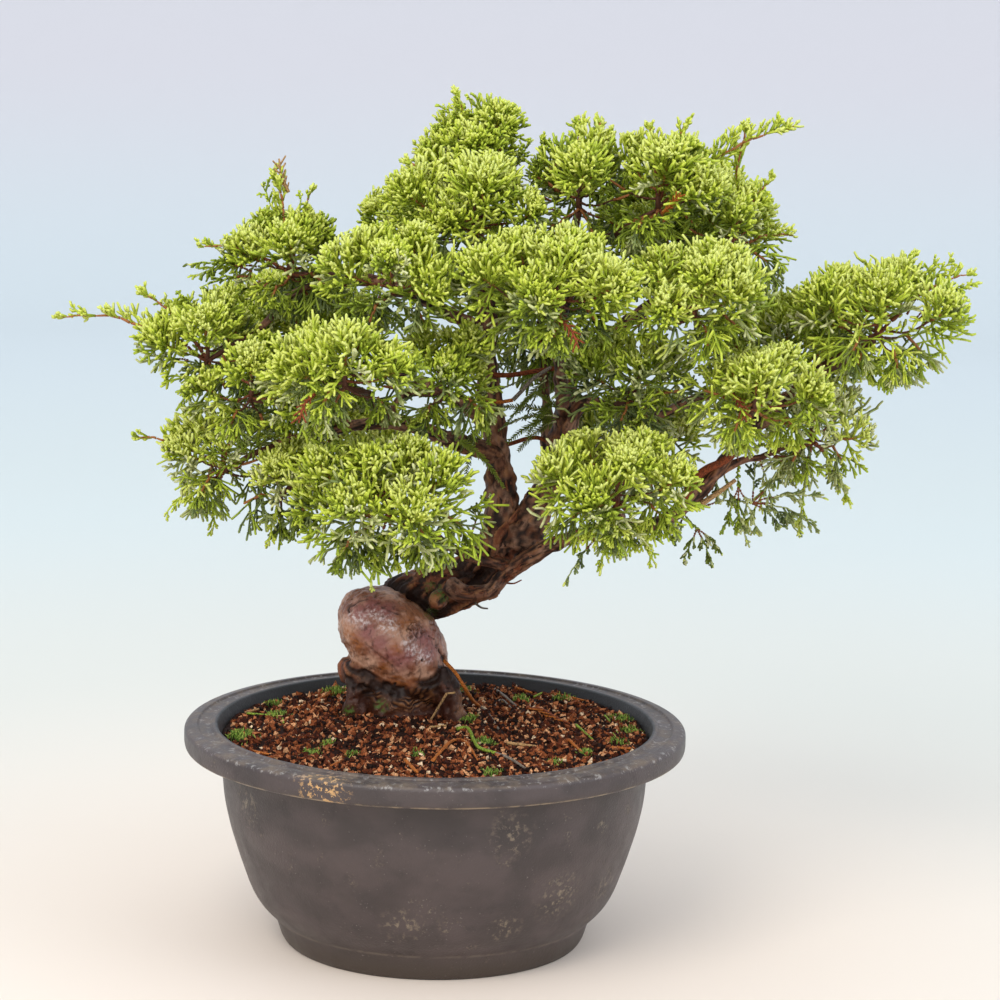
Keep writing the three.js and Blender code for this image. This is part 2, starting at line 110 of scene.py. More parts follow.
def new_material(name, colour, roughness, **sockets):
    """A material, its tree and its shader. A socket's name is written with underscores for its spaces."""
    material = bpy.data.materials.new(name)
    material.use_nodes = True
    tree = material.node_tree
    tree.nodes.clear()
    inputs = {"Base Color": linear(colour), "Roughness": roughness}
    inputs.update({key.replace("_", " "): value for key, value in sockets.items()})
    shader = add_node(tree, "BsdfPrincipled", inputs=inputs)
    add_node(tree, "OutputMaterial", inputs={"Surface": shader.outputs[0]})
    return material, tree, shader


def patterned(tree, kind, size_mm, stretch=(1, 1, 1), **inputs):
    """A texture whose spots are about size_mm wide, read from Object coordinates and stretched."""
    place = add_node(tree, "TexCoord").outputs["Object"]
    scale = [1 / (size_mm * MM * s) for s in stretch]
    moved = add_node(tree, "Mapping", inputs={"Vector": place, "Scale": scale}).outputs[0]
    inputs = {key.replace("_", " "): value for key, value in inputs.items()}
    return add_node(tree, "Tex" + kind, inputs={"Vector": moved, "Scale": 1.0, **inputs}).outputs[0]


def layered(tree, colour, rows):
    """Colours laid over one another in order, each a hex value or a socket. A row is a colour, then amounts
    that are multiplied, so that it shows only where all of them are high. An amount is a number, a socket,
    or a socket and two levels: 0 at the first level, 1 at the second, and smooth between them."""
    colour = linear(colour)
    for above, *amounts in rows:
        for number, amount in enumerate(amounts):
            if isinstance(amount, tuple):
                inputs = dict(zip(("Value", "From Min", "From Max"), amount))
                amount = add_node(tree, "MapRange", {"interpolation_type": "SMOOTHSTEP"}, inputs).outputs[0]
            if number:
                amount = add_node(tree, "Math", {"operation": "MULTIPLY"}, {0: shown, 1: amount}).outputs[0]
            shown = amount
        above = linear(above) if isinstance(above, str) else above
        colour = add_node(tree, "Mix", {"data_type": "RGBA"}, {0: shown, 6: colour, 7: above}).outputs[2]
    return colour


def axis_place(tree):
    """How far a point lies from the Z axis and how high it is, in metres, as two sockets."""
    place = add_node(tree, "SeparateXYZ", inputs={0: add_node(tree, "TexCoord").outputs["Object"]})
    flat = add_node(tree, "CombineXYZ", inputs={0: place.outputs[0], 1: place.outputs[1]}).outputs[0]
    across = add_node(tree, "VectorMath", {"operation": "LENGTH"}, {0: flat}).outputs["Value"]
    return across, place.outputs[2]


def connect(tree, shader, colour, roughness, height, strength, depth_mm, rougher=()):
    """Links a finish to its shader: colour, roughness, and a bump of a depth from a pattern's height.
    "roughness" is a pattern and what it gives in its hollows and on its crests, in a straight line. Each
    socket in "rougher" adds its own share to that."""
    pattern, low, high = roughness
    inputs = {"Value": pattern, "From Min": NOISE_LOW, "From Max": NOISE_HIGH, "To Min": low, "To Max": high}
    rough = add_node(tree, "MapRange", {"interpolation_type": "LINEAR"}, inputs).outputs[0]
    for value, share in rougher:
        inputs = {0: value, 1: share, 2: rough}
        rough = add_node(tree, "Math", {"operation": "MULTIPLY_ADD"}, inputs).outputs[0]
    inputs = {"Strength": strength, "Distance": depth_mm * MM, "Height": height}
    bump = add_node(tree, "Bump", inputs=inputs).outputs[0]
    for name, socket in (("Base Color", colour), ("Roughness", rough), ("Normal", bump)):
        tree.links.new(socket, shader.inputs[name])


print("a test colour:", [round(v, 3) for v in linear("86b030")])

# %% [markdown]
# ## Surfaces from arrays
#
# A surface is a grid of points: rows one way, columns the other. The corners of all its faces follow from
# the grid's size alone, so the points can be worked out as whole arrays. The same few functions carry a
# profile round an axis for the pot, and a ring along a path for every limb and twig.

# %% Turn arrays into meshes
def grid_faces(rows, columns):
    """Four-sided faces between neighbouring rows. The last column joins the first."""
    row = np.arange(rows - 1)[:, None] * columns
    here = np.arange(columns)[None]
    after = (here + 1) % columns
    corners = [row + here, row + after, row + columns + after, row + columns + here]
    return np.stack(corners, -1).reshape(-1, 4)


def make_piece(name, points, faces, materials, face_material=None, smooth=True):
    """A mesh object from points in millimetres and a list of face arrays, each of three or four corners."""
    mesh = bpy.data.meshes.new(name)
    sizes = np.concatenate([np.full(len(group), group.shape[1]) for group in faces])
    corners = np.concatenate([group.ravel() for group in faces])
    mesh.vertices.add(len(points))
    mesh.vertices.foreach_set("co", (np.asarray(points) * MM).astype(np.float32).ravel())
    mesh.loops.add(len(corners))
    mesh.loops.foreach_set("vertex_index", corners.astype(np.int32))
    mesh.polygons.add(len(sizes))
    mesh.polygons.foreach_set("loop_start", (np.cumsum(sizes) - sizes).astype(np.int32))
    mesh.polygons.foreach_set("use_smooth", np.full(len(sizes), smooth))
    for material in materials:
        mesh.materials.append(material)
    if face_material is not None:
        mesh.polygons.foreach_set("material_index", np.asarray(face_material, np.int32))
    mesh.update(calc_edges=True)
    mesh.validate()
    piece = bpy.data.objects.new(name, mesh)
    bpy.context.scene.collection.objects.link(piece)
    return piece


def close_poles(piece):
    """Merges points that lie on each other, which closes a surface at its poles."""
    body = bmesh.new()
    body.from_mesh(piece.data)
    bmesh.ops.remove_doubles(body, verts=body.verts, dist=1e-7)
    body.to_mesh(piece.data)
    body.free()


def settle(piece, slot, *nodes):
    """The piece rides on the tree and stands for the solids named, which are hidden. The slot is not used.
    """
    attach(piece, "root")
    if nodes:
        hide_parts(*nodes)
    print(piece.name, "polygons:", len(piece.data.polygons), "stands for", len(nodes), "solids")

# %% Waves, the noise behind every lump and wrinkle
def waves(points, length, seed, count=20):
    """Smooth noise about zero: the sum of sines that run in seeded directions, near one wavelength."""
    random = np.random.default_rng(seed)
    direction = random.normal(size=(count, 3))
    direction /= np.linalg.norm(direction, axis=1, keepdims=True)
    beat = direction * (TAU / length) * random.uniform(0.6, 1.5, (count, 1))
    return np.sin(points @ beat.T + random.uniform(0, TAU, count)).sum(-1) / math.sqrt(count / 2)


FRONT = np.array([[1, 0, 0], [0, 0.15, 0], [0, math.sin(CAMERA_PITCH), 1]])


def front_gap(points, places):
    """How far points lie from the nearest place, measured across the camera's slope: a distance in depth
    counts for a seventh, so a mark lands on whichever surface faces the front there."""
    off = (points[:, None] - np.atleast_2d(places)[None]) @ FRONT.T
    return np.linalg.norm(off, axis=2).min(1)


def near(points, places, reach):
    """1 at any of the places, falling off as a bell curve whose half width is the reach."""
    return bell(front_gap(points, places), 0, reach)


def all_round(count):
    """Angles that go once round a circle in even steps."""
    return TAU * np.arange(count) / count


def unit(vectors):
    """Vectors at length 1."""
    return vectors / np.linalg.norm(vectors, axis=-1, keepdims=True)


def held(values):
    """Values held between 0 and 1."""
    return np.clip(values, 0, 1)


def ramp(values, low, high):
    """0 at one level of a value and 1 at another, straight between them and flat outside."""
    return held((values - low) / (high - low))


def bell(values, middle, width):
    """A bell curve: 1 in the middle, and 0.37 at a width from it."""
    return np.exp(-(((values - middle) / width) ** 2))


print("waves at the origin:", round(float(waves(np.zeros((1, 3)), 10, 1)[0]), 3))

# %% [markdown]
# ## The pot
#
# The pot is injection moulded polypropylene: one thin wall with a stepped foot, a bowl and a wide rim. In
# CAD it is a turned profile with 32 sides. Here the same profile gets rounded corners and 256 sides,
# because a smooth rim that catches the light is what the eye reads first.

# %% Size the pot
POT_HEIGHT = 101
RIM_RADIUS = 115
RIM_DEPTH = 11
RIM_INNER_RADIUS = 100
BODY_RADIUS = 98.5
FOOT_RADIUS = 68.5
FOOT_SPREAD = 4.5
FOOT_HEIGHT = 12
WALL = 2.6
FLOOR = 4
POT_SIDES = 256
# Half of the bowl's outline, radius and height, from above the foot's ledge to below the rim.
BOWL = [(80, 18), (84.3, 25), (89.4, 39.5), (93.9, 54), (96.7, 67)]

# %% The pot's profile
def rounded(outline, step=0.35):
    """The outline with each corner turned into an arc: (radius, height, rounding) rows give a quadratic
    curve between two points that lie the rounding before and after the corner."""
    corners = np.array(outline, float)
    pieces = [corners[:1, :2]]
    for before, here, after in zip(corners[:-2], corners[1:-1], corners[2:]):
        back = before[:2] - here[:2]
        on = after[:2] - here[:2]
        reach = [min(here[2], 0.48 * np.linalg.norm(way)) / np.linalg.norm(way) for way in (back, on)]
        start = here[:2] + back * reach[0]
        end = here[:2] + on * reach[1]
        steps = 1 + int(np.linalg.norm(end - start) / step)
        t = np.linspace(0, 1, min(steps, 8) + 1)[:, None]
        pieces.append((1 - t) ** 2 * start + 2 * t * (1 - t) * here[:2] + t**2 * end)
    pieces.append(corners[-1:, :2])
    return np.vstack(pieces)


def turned(profile, columns):
    """A profile of (radius, height) rows carried round the Z axis."""
    angle = all_round(columns)
    radius = profile[:, :1]
    height = np.repeat(profile[:, 1:], columns, axis=1)
    return np.stack([radius * np.cos(angle), radius * np.sin(angle), height], -1).reshape(-1, 3)


RIM_UNDER = POT_HEIGHT - RIM_DEPTH
RIM_GROOVE = POT_HEIGHT - 1
LEDGE_RADIUS = FOOT_RADIUS + FOOT_SPREAD
POT_OUTLINE = [
    # The foot and the bowl, outside.
    (0, 0, 0), (FOOT_RADIUS, 0, 0.8), (FOOT_RADIUS + 1.8, 2.5, 2), (LEDGE_RADIUS, FOOT_HEIGHT - 1, 0.8),
    (LEDGE_RADIUS + 1.2, FOOT_HEIGHT + 0.6, 1), *((*step, 5) for step in BOWL),
    # The rim: its underside, edge and top, with a shallow groove round the top.
    (BODY_RADIUS, RIM_UNDER, 1.5), (RIM_RADIUS - 1, RIM_UNDER + 0.3, 2.2), (RIM_RADIUS, RIM_UNDER + 2.5, 2),
    (RIM_RADIUS, POT_HEIGHT - 1, 2.4), (RIM_RADIUS - 6, POT_HEIGHT, 0.8),
    (RIM_RADIUS - 6.5, RIM_GROOVE, 0.6), (RIM_INNER_RADIUS + 3, RIM_GROOVE, 0.6),
    (RIM_INNER_RADIUS + 2.4, POT_HEIGHT, 0.6),
    (RIM_INNER_RADIUS, POT_HEIGHT, 0.9), (BODY_RADIUS - WALL, RIM_UNDER, 3),
    # The inside.
    *((radius - WALL, height, 5) for radius, height in reversed(BOWL)),
    (LEDGE_RADIUS - WALL, FOOT_HEIGHT, 2), (FOOT_RADIUS - WALL, FLOOR, 2), (0, FLOOR, 0),
]
pot_profile = rounded(POT_OUTLINE)
print("pot profile points:", len(pot_profile))

# %% [markdown]
# The plastic is a dark warm grey, moulded with a fine grain that breaks up its highlights. Years on a bench
# have left it dusty: tan soil where water ran over the rim, pale scuffs and specks, and a scraped patch at
# the front left of the rim. Each mark is its own layer over the plain plastic. Two layers paint light and
# shade: a highlight drawn with the scuffs along the rim's edge, and shade on the wall inside the rim.

# %% Finish: moulded polypropylene, scuffed and dusty
# Places on the pot's wall: tan smudges of dried soil, and the scraped patch.
SMUDGES = [
    ((36, -91, 73), 13), ((57, -69, 39), 15), ((-11, -85, 30), 12), ((76, -60, 70), 5),
    ((-82, -52, 74), 12), ((78, -42, 38), 11), ((33, -78, 28), 10),
]
SCRAPE = ((-46, -106, 96), 16)
DUST = "8f806c"


def spot(tree, place, reach):
    """1 at a place on the pot, falling to 0 at a reach from it. Both are in millimetres."""
    here = add_node(tree, "TexCoord").outputs["Object"]
    settings = {"operation": "DISTANCE"}
    gap = add_node(tree, "VectorMath", settings, {0: here, 1: [v * MM for v in place]}).outputs["Value"]
    inputs = {"Value": gap, "From Min": reach * MM, "From Max": 0.2 * reach * MM}
    return add_node(tree, "MapRange", inputs=inputs).outputs[0]


def band(tree, height, middle, half):
    """1 at a height and 0 half a width above or below it, in millimetres."""
    off = add_node(tree, "Math", {"operation": "SUBTRACT"}, {0: height, 1: middle * MM}).outputs[0]
    gap = add_node(tree, "Math", {"operation": "ABSOLUTE"}, {0: off}).outputs[0]
    inputs = {"Value": gap, "From Min": half * MM, "From Max": 0.3 * half * MM}
    return add_node(tree, "MapRange", inputs=inputs).outputs[0]


def moulded_plastic():
    """Dark polypropylene: satin, with fine grain, blotches, dust, smudges, scuffed edges with a painted
    highlight along the rim, and a dusty line under the rim. The foot is browner towards the bottom, and
    the wall inside the rim is darkened with painted shade."""
    material, tree, shader = new_material("moulded_polypropylene", "4b4140", 0.5, IOR=1.49)
    across, height = axis_place(tree)
    blotch = patterned(tree, "Noise", 26, (1, 1, 0.7), Detail=3.0)
    cloud = patterned(tree, "Noise", 9, Detail=5.0, Roughness=0.65)
    speck = patterned(tree, "Noise", 1.1, Detail=2.0)
    flake = patterned(tree, "Noise", 2.8, Detail=6.0, Roughness=0.7)
    ragged = (patterned(tree, "Noise", 6, Detail=4.0), 0.36, 0.6)
    colour = layered(tree, "3d3433", [
        ("4c4140", (blotch, 0.35, 0.65)),
        ("372f2f", (cloud, 0.52, 0.7), 0.5),
        ("40362f", (height, 0.016, 0.003)),
        (DUST, (cloud, 0.56, 0.68), (speck, 0.42, 0.62), (blotch, 0.5, 0.62), 0.4),
        # Brown dust lies on the top of the rim, and pale scuffs on all of it.
        ("7d6c5c", (height, 0.0985, 0.1), (cloud, 0.4, 0.66), 0.55),
        ("a8a199", (speck, 0.66, 0.74), (cloud, 0.46, 0.6), 0.32),
        *((DUST, spot(tree, at, reach), (flake, 0.5, 0.64), 0.7) for at, reach in SMUDGES),
        # Pale scuffs along the rim's edge that also paint the highlight it catches, a line of dust under it,
        # and a lighter one at the ledge.
        ("b9b5b2", band(tree, height, 99.7, 1.5), (flake, 0.55, 0.62), 0.4),
        ("a08c70", band(tree, height, RIM_UNDER + 0.7, 0.9), ragged, 0.75),
        ("7a6e62", band(tree, height, FOOT_HEIGHT + 0.4, 0.9), ragged, 0.5),
        ("cda06a", spot(tree, *SCRAPE), (flake, 0.53, 0.57)),
        # The wall inside the rim is darkened to near black with painted shade.
        ("262729", (across, 0.1015, 0.1005), (height, 0.0903, 0.0909)),
    ])
    # The moulded grain is 0.4 mm wide on the real pot, and is drawn at 0.9 mm so that it shows.
    grain = patterned(tree, "Noise", 0.9, Detail=2.0)
    connect(tree, shader, colour, (cloud, 0.38, 0.55), grain, 0.7, 0.3)
    return material

# %% Make the pot
pot_faces = [grid_faces(len(pot_profile), POT_SIDES)]
pot = make_piece("pot_moulded", turned(pot_profile, POT_SIDES), pot_faces, [moulded_plastic()])
close_poles(pot)
settle(pot, "pot_plastic", "pot")

# %% [markdown]
# ## The soil
#
# Bonsai soil is not earth but grit: baked clay, pumice and bark chips of one to two millimetres, so that
# water runs through it. A bump pattern alone looks like cloth, so the grains are real: one rolling surface,
# with small blunt crystals sown over it, each turned its own way and dealt one of a few colours.

# %% Shape the soil's surface
GROUND = 95
SOIL_LEVEL = 96.4
SOIL_EDGE = 95.8
SOIL_WALL = 97.7
SOIL_GAP = 0.3
FOOT_AT = np.array([-15, 42])
MOUND_HEIGHT = 1.2
MOUND_REACH = 42
FALL_START = 82


def soil_height(x, y):
    """The soil's top: level, higher at the trunk by a bell curve, lower at the wall by a square law, with
    waves."""
    from_foot = (x - FOOT_AT[0]) ** 2 + (y - FOOT_AT[1]) ** 2
    mound = MOUND_HEIGHT * np.exp(-(from_foot / MOUND_REACH**2))
    fall = (SOIL_LEVEL - SOIL_EDGE) * ramp(np.hypot(x, y), FALL_START, SOIL_WALL) ** 2
    flat = np.stack([x, y, 0 * x], -1)
    return SOIL_LEVEL + mound - fall + 0.45 * waves(flat, 26, 3) + 0.4 * waves(flat, 8, 4)


SOIL_SIDES = 224
rows = np.linspace(SOIL_WALL, 0, 90)
x = rows[:, None] * np.cos(all_round(SOIL_SIDES))
y = rows[:, None] * np.sin(all_round(SOIL_SIDES))
top = np.stack([x, y, soil_height(x, y)], -1).reshape(-1, 3)
inner_steps = [(FOOT_RADIUS, FLOOR), (LEDGE_RADIUS, FOOT_HEIGHT), *BOWL]
wall_steps = [(radius - WALL - SOIL_GAP, height + SOIL_GAP) for radius, height in inner_steps]
side_outline = np.array([(0, FLOOR + SOIL_GAP), *wall_steps, (BODY_RADIUS - WALL - SOIL_GAP, RIM_UNDER)])
soil_points = np.vstack([turned(side_outline, SOIL_SIDES), top])
print("soil between", round(float(top[:, 2].min()), 1), "and", round(float(top[:, 2].max()), 1), "mm high")

# %% Finish: bonsai grit
MOTTLE_DARK = 0.62
# The colours of the grains, and how large a share of them each one has.
GRAIN_COLOURS = ["3a170a", "602c16", "8e4c28", "b87046", "dba072", "1e0c06", "f4d2ac"]
GRAIN_SHARES = [0.22, 0.21, 0.18, 0.13, 0.09, 0.14, 0.03]


def earth(name, colour, roughness=0.9):
    """A dull mineral or bark grain: rough, with a fine mottle 0.7 mm wide."""
    material, tree, shader = new_material(name, colour, roughness, Specular_IOR_Level=0.2)
    mottle = patterned(tree, "Noise", 0.7, Detail=3.0)
    dark = "%02x%02x%02x" % tuple(int(int(colour[i : i + 2], 16) * MOTTLE_DARK) for i in (0, 2, 4))
    mottled = layered(tree, dark, [(colour, (mottle, 0.35, 0.6))])
    tree.links.new(mottled, shader.inputs["Base Color"])
    return material


soil_faces = [grid_faces(len(side_outline) + len(rows), SOIL_SIDES)]
soil = make_piece("soil_surface", soil_points, soil_faces, [earth("bonsai_soil", "260f07")])
close_poles(soil)
settle(soil, "soil", "soil")

# %% [markdown]
# Each grain is an octahedron whose six corners are pushed in and out, then turned at random. One that is
# stretched and flattened is a chip of bark. All grains are one array of shape (grains, corners, 3), so
# sowing thousands of them takes no loop.

# %% Sow the grains
def turned_at_random(random, count):
    """Rotation matrices from seeded unit quaternions."""
    w, i, j, k = unit(random.normal(size=(count, 4))).T
    rows = [
        [1 - 2 * (j * j + k * k), 2 * (i * j - k * w), 2 * (i * k + j * w)],
        [2 * (i * j + k * w), 1 - 2 * (i * i + k * k), 2 * (j * k - i * w)],
        [2 * (i * k - j * w), 2 * (j * k + i * w), 1 - 2 * (i * i + j * j)],
    ]
    return np.moveaxis(np.array(rows), 2, 0)


OCTAHEDRON = np.array([[1, 0, 0], [-1, 0, 0], [0, 1, 0], [0, -1, 0], [0, 0, 1], [0, 0, -1]], float)
OCTAHEDRON_FACES = np.array(
    [[0, 2, 4], [2, 1, 4], [1, 3, 4], [3, 0, 4], [2, 0, 5], [1, 2, 5], [3, 1, 5], [0, 3, 5]]
)
# Grit and bark chips: how many, seed, size in millimetres, and stretch.
GRAIN_SORTS = [(8500, 5, (0.6, 2.0), (1, 1, 1)), (1500, 6, (1.1, 2.5), (1.35, 0.6, 0.4))]
FOOT_CLEAR = 17


def sow(count, seed, sizes, stretch):
    """Grains spread evenly over the soil's disc: radius by a square root, angle evenly, size by a curve
    that makes small ones common. Those under the trunk's foot are left out."""
    random = np.random.default_rng(seed)
    radius = (SOIL_WALL - 1.8) * np.sqrt(random.random(count))
    angle = TAU * random.random(count)
    x, y = radius * np.cos(angle), radius * np.sin(angle)
    clear = np.hypot(x - FOOT_AT[0], y - FOOT_AT[1]) > FOOT_CLEAR
    x, y = x[clear], y[clear]
    size = sizes[0] + (sizes[1] - sizes[0]) * random.random(len(x)) ** 2.2
    shape = OCTAHEDRON * size[:, None, None] * random.uniform(0.65, 1.25, (len(x), 6, 1)) * stretch
    shape = np.einsum("nij,nkj->nki", turned_at_random(random, len(x)), shape)
    middle = np.stack([x, y, soil_height(x, y) + 0.3 * size], -1)
    kind = random.choice(len(GRAIN_SHARES), len(x), p=GRAIN_SHARES)
    return shape + middle[:, None], kind


grains, grain_kind = [np.concatenate(column) for column in zip(*(sow(*sort) for sort in GRAIN_SORTS))]
grain_faces = (np.arange(len(grains))[:, None, None] * len(OCTAHEDRON) + OCTAHEDRON_FACES).reshape(-1, 3)
grit = make_piece(
    "soil_grains",
    grains.reshape(-1, 3),
    [grain_faces],
    [earth("grit_" + str(i), colour) for i, colour in enumerate(GRAIN_COLOURS)],
    np.repeat(grain_kind, len(OCTAHEDRON_FACES)),
    smooth=False,
)
settle(grit, "soil")

# %% [markdown]
# ## Paths, tubes and the tree's own plan
#
# Every limb of the tree is a tube along a smooth path. The path is a chain of cubic curves: it passes
# through each named point, and its bends depend only on the points beside them. The same rule and the same
# points gave the solids, so each piece of wood lands on the solid that it stands for.

# %% Curves and tubes
def read_between(at, places, values):
    """The rows of an array of values, given at some places, read off in straight lines between them."""
    return np.stack([np.interp(at, places, column) for column in values.T], 1)


def walked_along(path):
    """How far along a path each of its points lies."""
    return np.concatenate([[0], np.cumsum(np.linalg.norm(np.diff(path, axis=0), axis=1))])


def smooth_path(points, count):
    """A curve through the points: on each span a cubic whose end slopes come from the neighbouring points,
    weighted by the roots of their distances. It is then resampled evenly along its length."""
    points = np.asarray(points, float)
    ends = np.vstack([2 * points[0] - points[1], points, 2 * points[-1] - points[-2]])
    gap = np.linalg.norm(np.diff(ends, axis=0), axis=1) ** 0.5
    share = np.linspace(0, 1, 40)[:, None]
    spans = []
    for i in range(len(points) - 1):
        x0, x1, x2, x3 = ends[i : i + 4]
        d0, d1, d2 = gap[i : i + 3]
        t1 = ((x1 - x0) / d0 - (x2 - x0) / (d0 + d1) + (x2 - x1) / d1) * d1
        t2 = ((x2 - x1) / d1 - (x3 - x1) / (d1 + d2) + (x3 - x2) / d2) * d1
        cubic = 2 * x1 - 2 * x2 + t1 + t2
        square = -3 * x1 + 3 * x2 - 2 * t1 - t2
        spans.append(((cubic * share + square) * share + t1) * share + x1)
    fine = np.vstack(spans)
    walked = walked_along(fine)
    return read_between(np.linspace(0, walked[-1], count), walked, fine)


def square_ways(path):
    """Two directions square to a path at each point, turned from the axis that it runs along least."""
    slope = unit(np.gradient(path, axis=0))
    across = unit(np.cross(slope, np.eye(3)[np.abs(slope).mean(0).argmin()]))
    return across, np.cross(slope, across)


def turned_to(angle, side, other):
    """Directions at angles in the plane of two others that are square to each other."""
    return np.cos(angle)[..., None] * side + np.sin(angle)[..., None] * other


def rings(path, radius, columns):
    """A tube's grid: at each point of the path, a ring square to it. "radius" is one number for each row,
    or a grid of them."""
    across, other = square_ways(path)
    spoke = turned_to(all_round(columns), across[:, None], other[:, None])
    reach = np.broadcast_to(np.asarray(radius).reshape(len(path), -1), (len(path), columns))
    return path[:, None] + reach[..., None] * spoke


def capped_tube(grid):
    """Points and faces of a tube whose two ends are closed by a fan to a point in their middle."""
    rows, columns = grid.shape[:2]
    poles = np.stack([grid[0].mean(0), grid[-1].mean(0)])
    here = np.arange(columns)
    after = (here + 1) % columns
    first = np.stack([after, here, np.full(columns, rows * columns)], -1)
    last = (rows - 1) * columns + np.stack([here, after, np.full(columns, columns + 1)], -1)
    return np.vstack([grid.reshape(-1, 3), poles]), [grid_faces(rows, columns), np.vstack([first, last])]


def gather(parts):
    """Several (points, faces) pairs as one, with the corner numbers moved on."""
    points, quads, triangles, start = [], [], [], 0
    for part_points, (part_quads, part_triangles) in parts:
        points.append(part_points)
        quads.append(part_quads + start)
        triangles.append(part_triangles + start)
        start += len(part_points)
    return np.vstack(points), [np.vstack(quads), np.vstack(triangles)]

# %% [markdown]
# The plan of the crown is a table. A pad of foliage is an ellipsoid: its middle, its three half-axes, and
# the tips of the few shoots that stand out past it. A main limb is the points that it passes, the pad that
# it ends in, and its radius at both ends. A side bough springs from a limb at a share of its length.

# %% The pads
FULLNESS = 1.36
PAD_PLACES = {
    "apex": ((14, 26, 359), (22, 20, 21), [(4, 25, 387), (20, 25, 384), (32, 20, 378)]),
    "crown_left": ((14, -6, 334), (33, 26, 23), [(-20, 6, 358)]),
    "crown_centre": ((61, 12, 342), (25, 32, 24), [(61, 50, 377), (71, 46, 376)]),
    "crown_right": ((96, 4, 343), (27, 28, 24), [(160, 0, 376), (109, 5, 379), (91, 5, 376)]),
    "crown_right_outer": ((129, 16, 323), (24, 27, 22), [(135, 5, 378), (149, 15, 353), (160, 10, 326)]),
    "right_upper_front": ((111, -40, 299), (33, 28, 22), []),
    "far_right": ((197, 8, 287), (36, 30, 23), [(240, 12, 311), (213, 10, 322)]),
    "right_low": ((170, 14, 238), (27, 26, 22), [(166, 20, 188), (189, 15, 201), (141, 22, 190)]),
    "right_mid": ((138, -42, 259), (29, 26, 21), []),
    "centre_right": ((88, -20, 260), (27, 24, 22), []),
    "front_right_low": ((79, -50, 218), (32, 28, 23), [(72, -50, 180), (97, -50, 184)]),
    "front_centre": ((49, -54, 305), (36, 28, 22), []),
    "centre_left": ((1, -32, 261), (26, 22, 22), []),
    "left_upper_front": ((-21, -42, 306), (28, 26, 20), []),
    "front_left_mid": ((-40, -62, 268), (29, 26, 22), []),
    "front_left_low": ((-21, -56, 212), (40, 30, 25), [(-28, -60, 175), (-17, -58, 182), (-42, -58, 187)]),
    "left_upper": ((-69, 10, 309), (25, 26, 21), [(-76, 5, 354), (-59, 6, 344), (-110, 0, 317)]),
    "left_tip": ((-105, -2, 271), (24, 27, 22), [(-175, 0, 284), (-137, 0, 297)]),
    "left_centre": ((-84, -22, 256), (25, 26, 21), []),
    "left_low": ((-98, 0, 221), (24, 29, 23), [(-140, 0, 230), (-103, 0, 186), (-125, 0, 194)]),
    "left_low_inner": ((-71, -15, 211), (21, 22, 21), [(-76, -15, 184)]),
    "back_left_top": ((-6, 66, 320), (28, 33, 25), []),
    "back_right_top": ((111, 70, 322), (39, 34, 27), []),
    "back_centre": ((45, 97, 281), (38, 31, 32), []),
    "back_left": ((-72, 66, 268), (38, 33, 28), []),
    "back_left_low": ((-50, 76, 216), (33, 29, 20), []),
    "back_right": ((160, 64, 262), (35, 33, 26), []),
    "back_right_low": ((98, 84, 218), (33, 29, 21), []),
}
PADS = list(PAD_PLACES)
PAD_AT = np.array([at for at, _, _ in PAD_PLACES.values()], float)
PAD_SIZE = np.array([size for _, size, _ in PAD_PLACES.values()]) * FULLNESS


def shares_of(points):
    """How far each point lies from the middle of each pad, in half-axes: (points, pads)."""
    return np.linalg.norm((points[:, None] - PAD_AT) / PAD_SIZE, axis=2)


print("pads:", len(PADS), "from", PAD_AT[:, 0].min(), "to", PAD_AT[:, 0].max(), "mm")

# %% The limbs
LIMBS = {
    "leader_left": ("apex", [
        (29, 46, 176), (28, 46, 202), (26, 47, 221), (21, 48, 255), (20, 44, 290), (15, 38, 318),
    ], (7.6, 2.4)),
    "leader_right": ("crown_centre", [
        (37, 44, 176), (45, 42, 194), (53, 40, 212), (57, 37, 240), (57, 36, 262), (53, 33, 290),
    ], (8.4, 2.6)),
    "bough_right": ("far_right", [
        (5, 34, 157.5), (12, 28, 155.5), (19, 27, 156), (25, 28.5, 158), (29.5, 31, 163.4),
        (38, 28, 170.5), (51, 24, 179.6), (74, 12, 190), (103, 0, 197), (122, 0, 216), (140, 4, 238),
    ], (3.7, 3.3)),
    "bough_front_left": ("front_left_low", [
        (31, 33, 168), (26, 27, 170.5), (19, 20, 173), (14, 13, 176), (8, 2, 181),
    ], (2.6, 1.7)),
    "bough_left": ("left_low", [(26, 46, 219), (4, 28, 228), (-20, 4, 239), (-49, -6, 236)], (4.4, 2)),
    "bough_left_high": ("left_upper", [(20, 45, 276), (-2, 34, 288), (-28, 22, 301)], (3.6, 1.9)),
    "bough_right_high": ("crown_right_outer", [(57, 36, 262), (78, 27, 279), (104, 20, 300)], (3.8, 2)),
    "bough_front": ("front_centre", [(57, 37, 240), (55, 12, 256), (52, -14, 275)], (3.4, 2)),
    "bough_back": ("back_centre", [(50, 41, 207), (50, 58, 226), (48, 74, 248)], (4, 2.1)),
    "bough_back_left": ("back_left", [(25, 47, 230), (5, 57, 243), (-24, 62, 254)], (4, 2)),
    "bough_back_right": ("back_right", [(48, 41, 200), (74, 50, 220), (108, 58, 240)], (4.2, 2)),
}
# Side boughs by the limb that they spring from: the pad, and the share of the limb's length.
SIDE_BOUGHS = {
    "leader_left": {"crown_left": 0.82, "back_left_top": 0.74, "centre_left": 0.52},
    "leader_right": {"crown_right": 0.88, "centre_right": 0.36, "back_right_top": 0.76},
    "bough_right": {"front_right_low": 0.38, "right_mid": 0.74, "right_low": 0.63},
    "bough_right_high": {"right_upper_front": 0.6},
    "bough_left_high": {"left_upper_front": 0.4, "left_tip": 0.8},
    "bough_left": {"front_left_mid": 0.44, "left_centre": 0.66, "left_low_inner": 0.78},
    "bough_back_left": {"back_left_low": 0.5},
    "bough_back_right": {"back_right_low": 0.26},
}

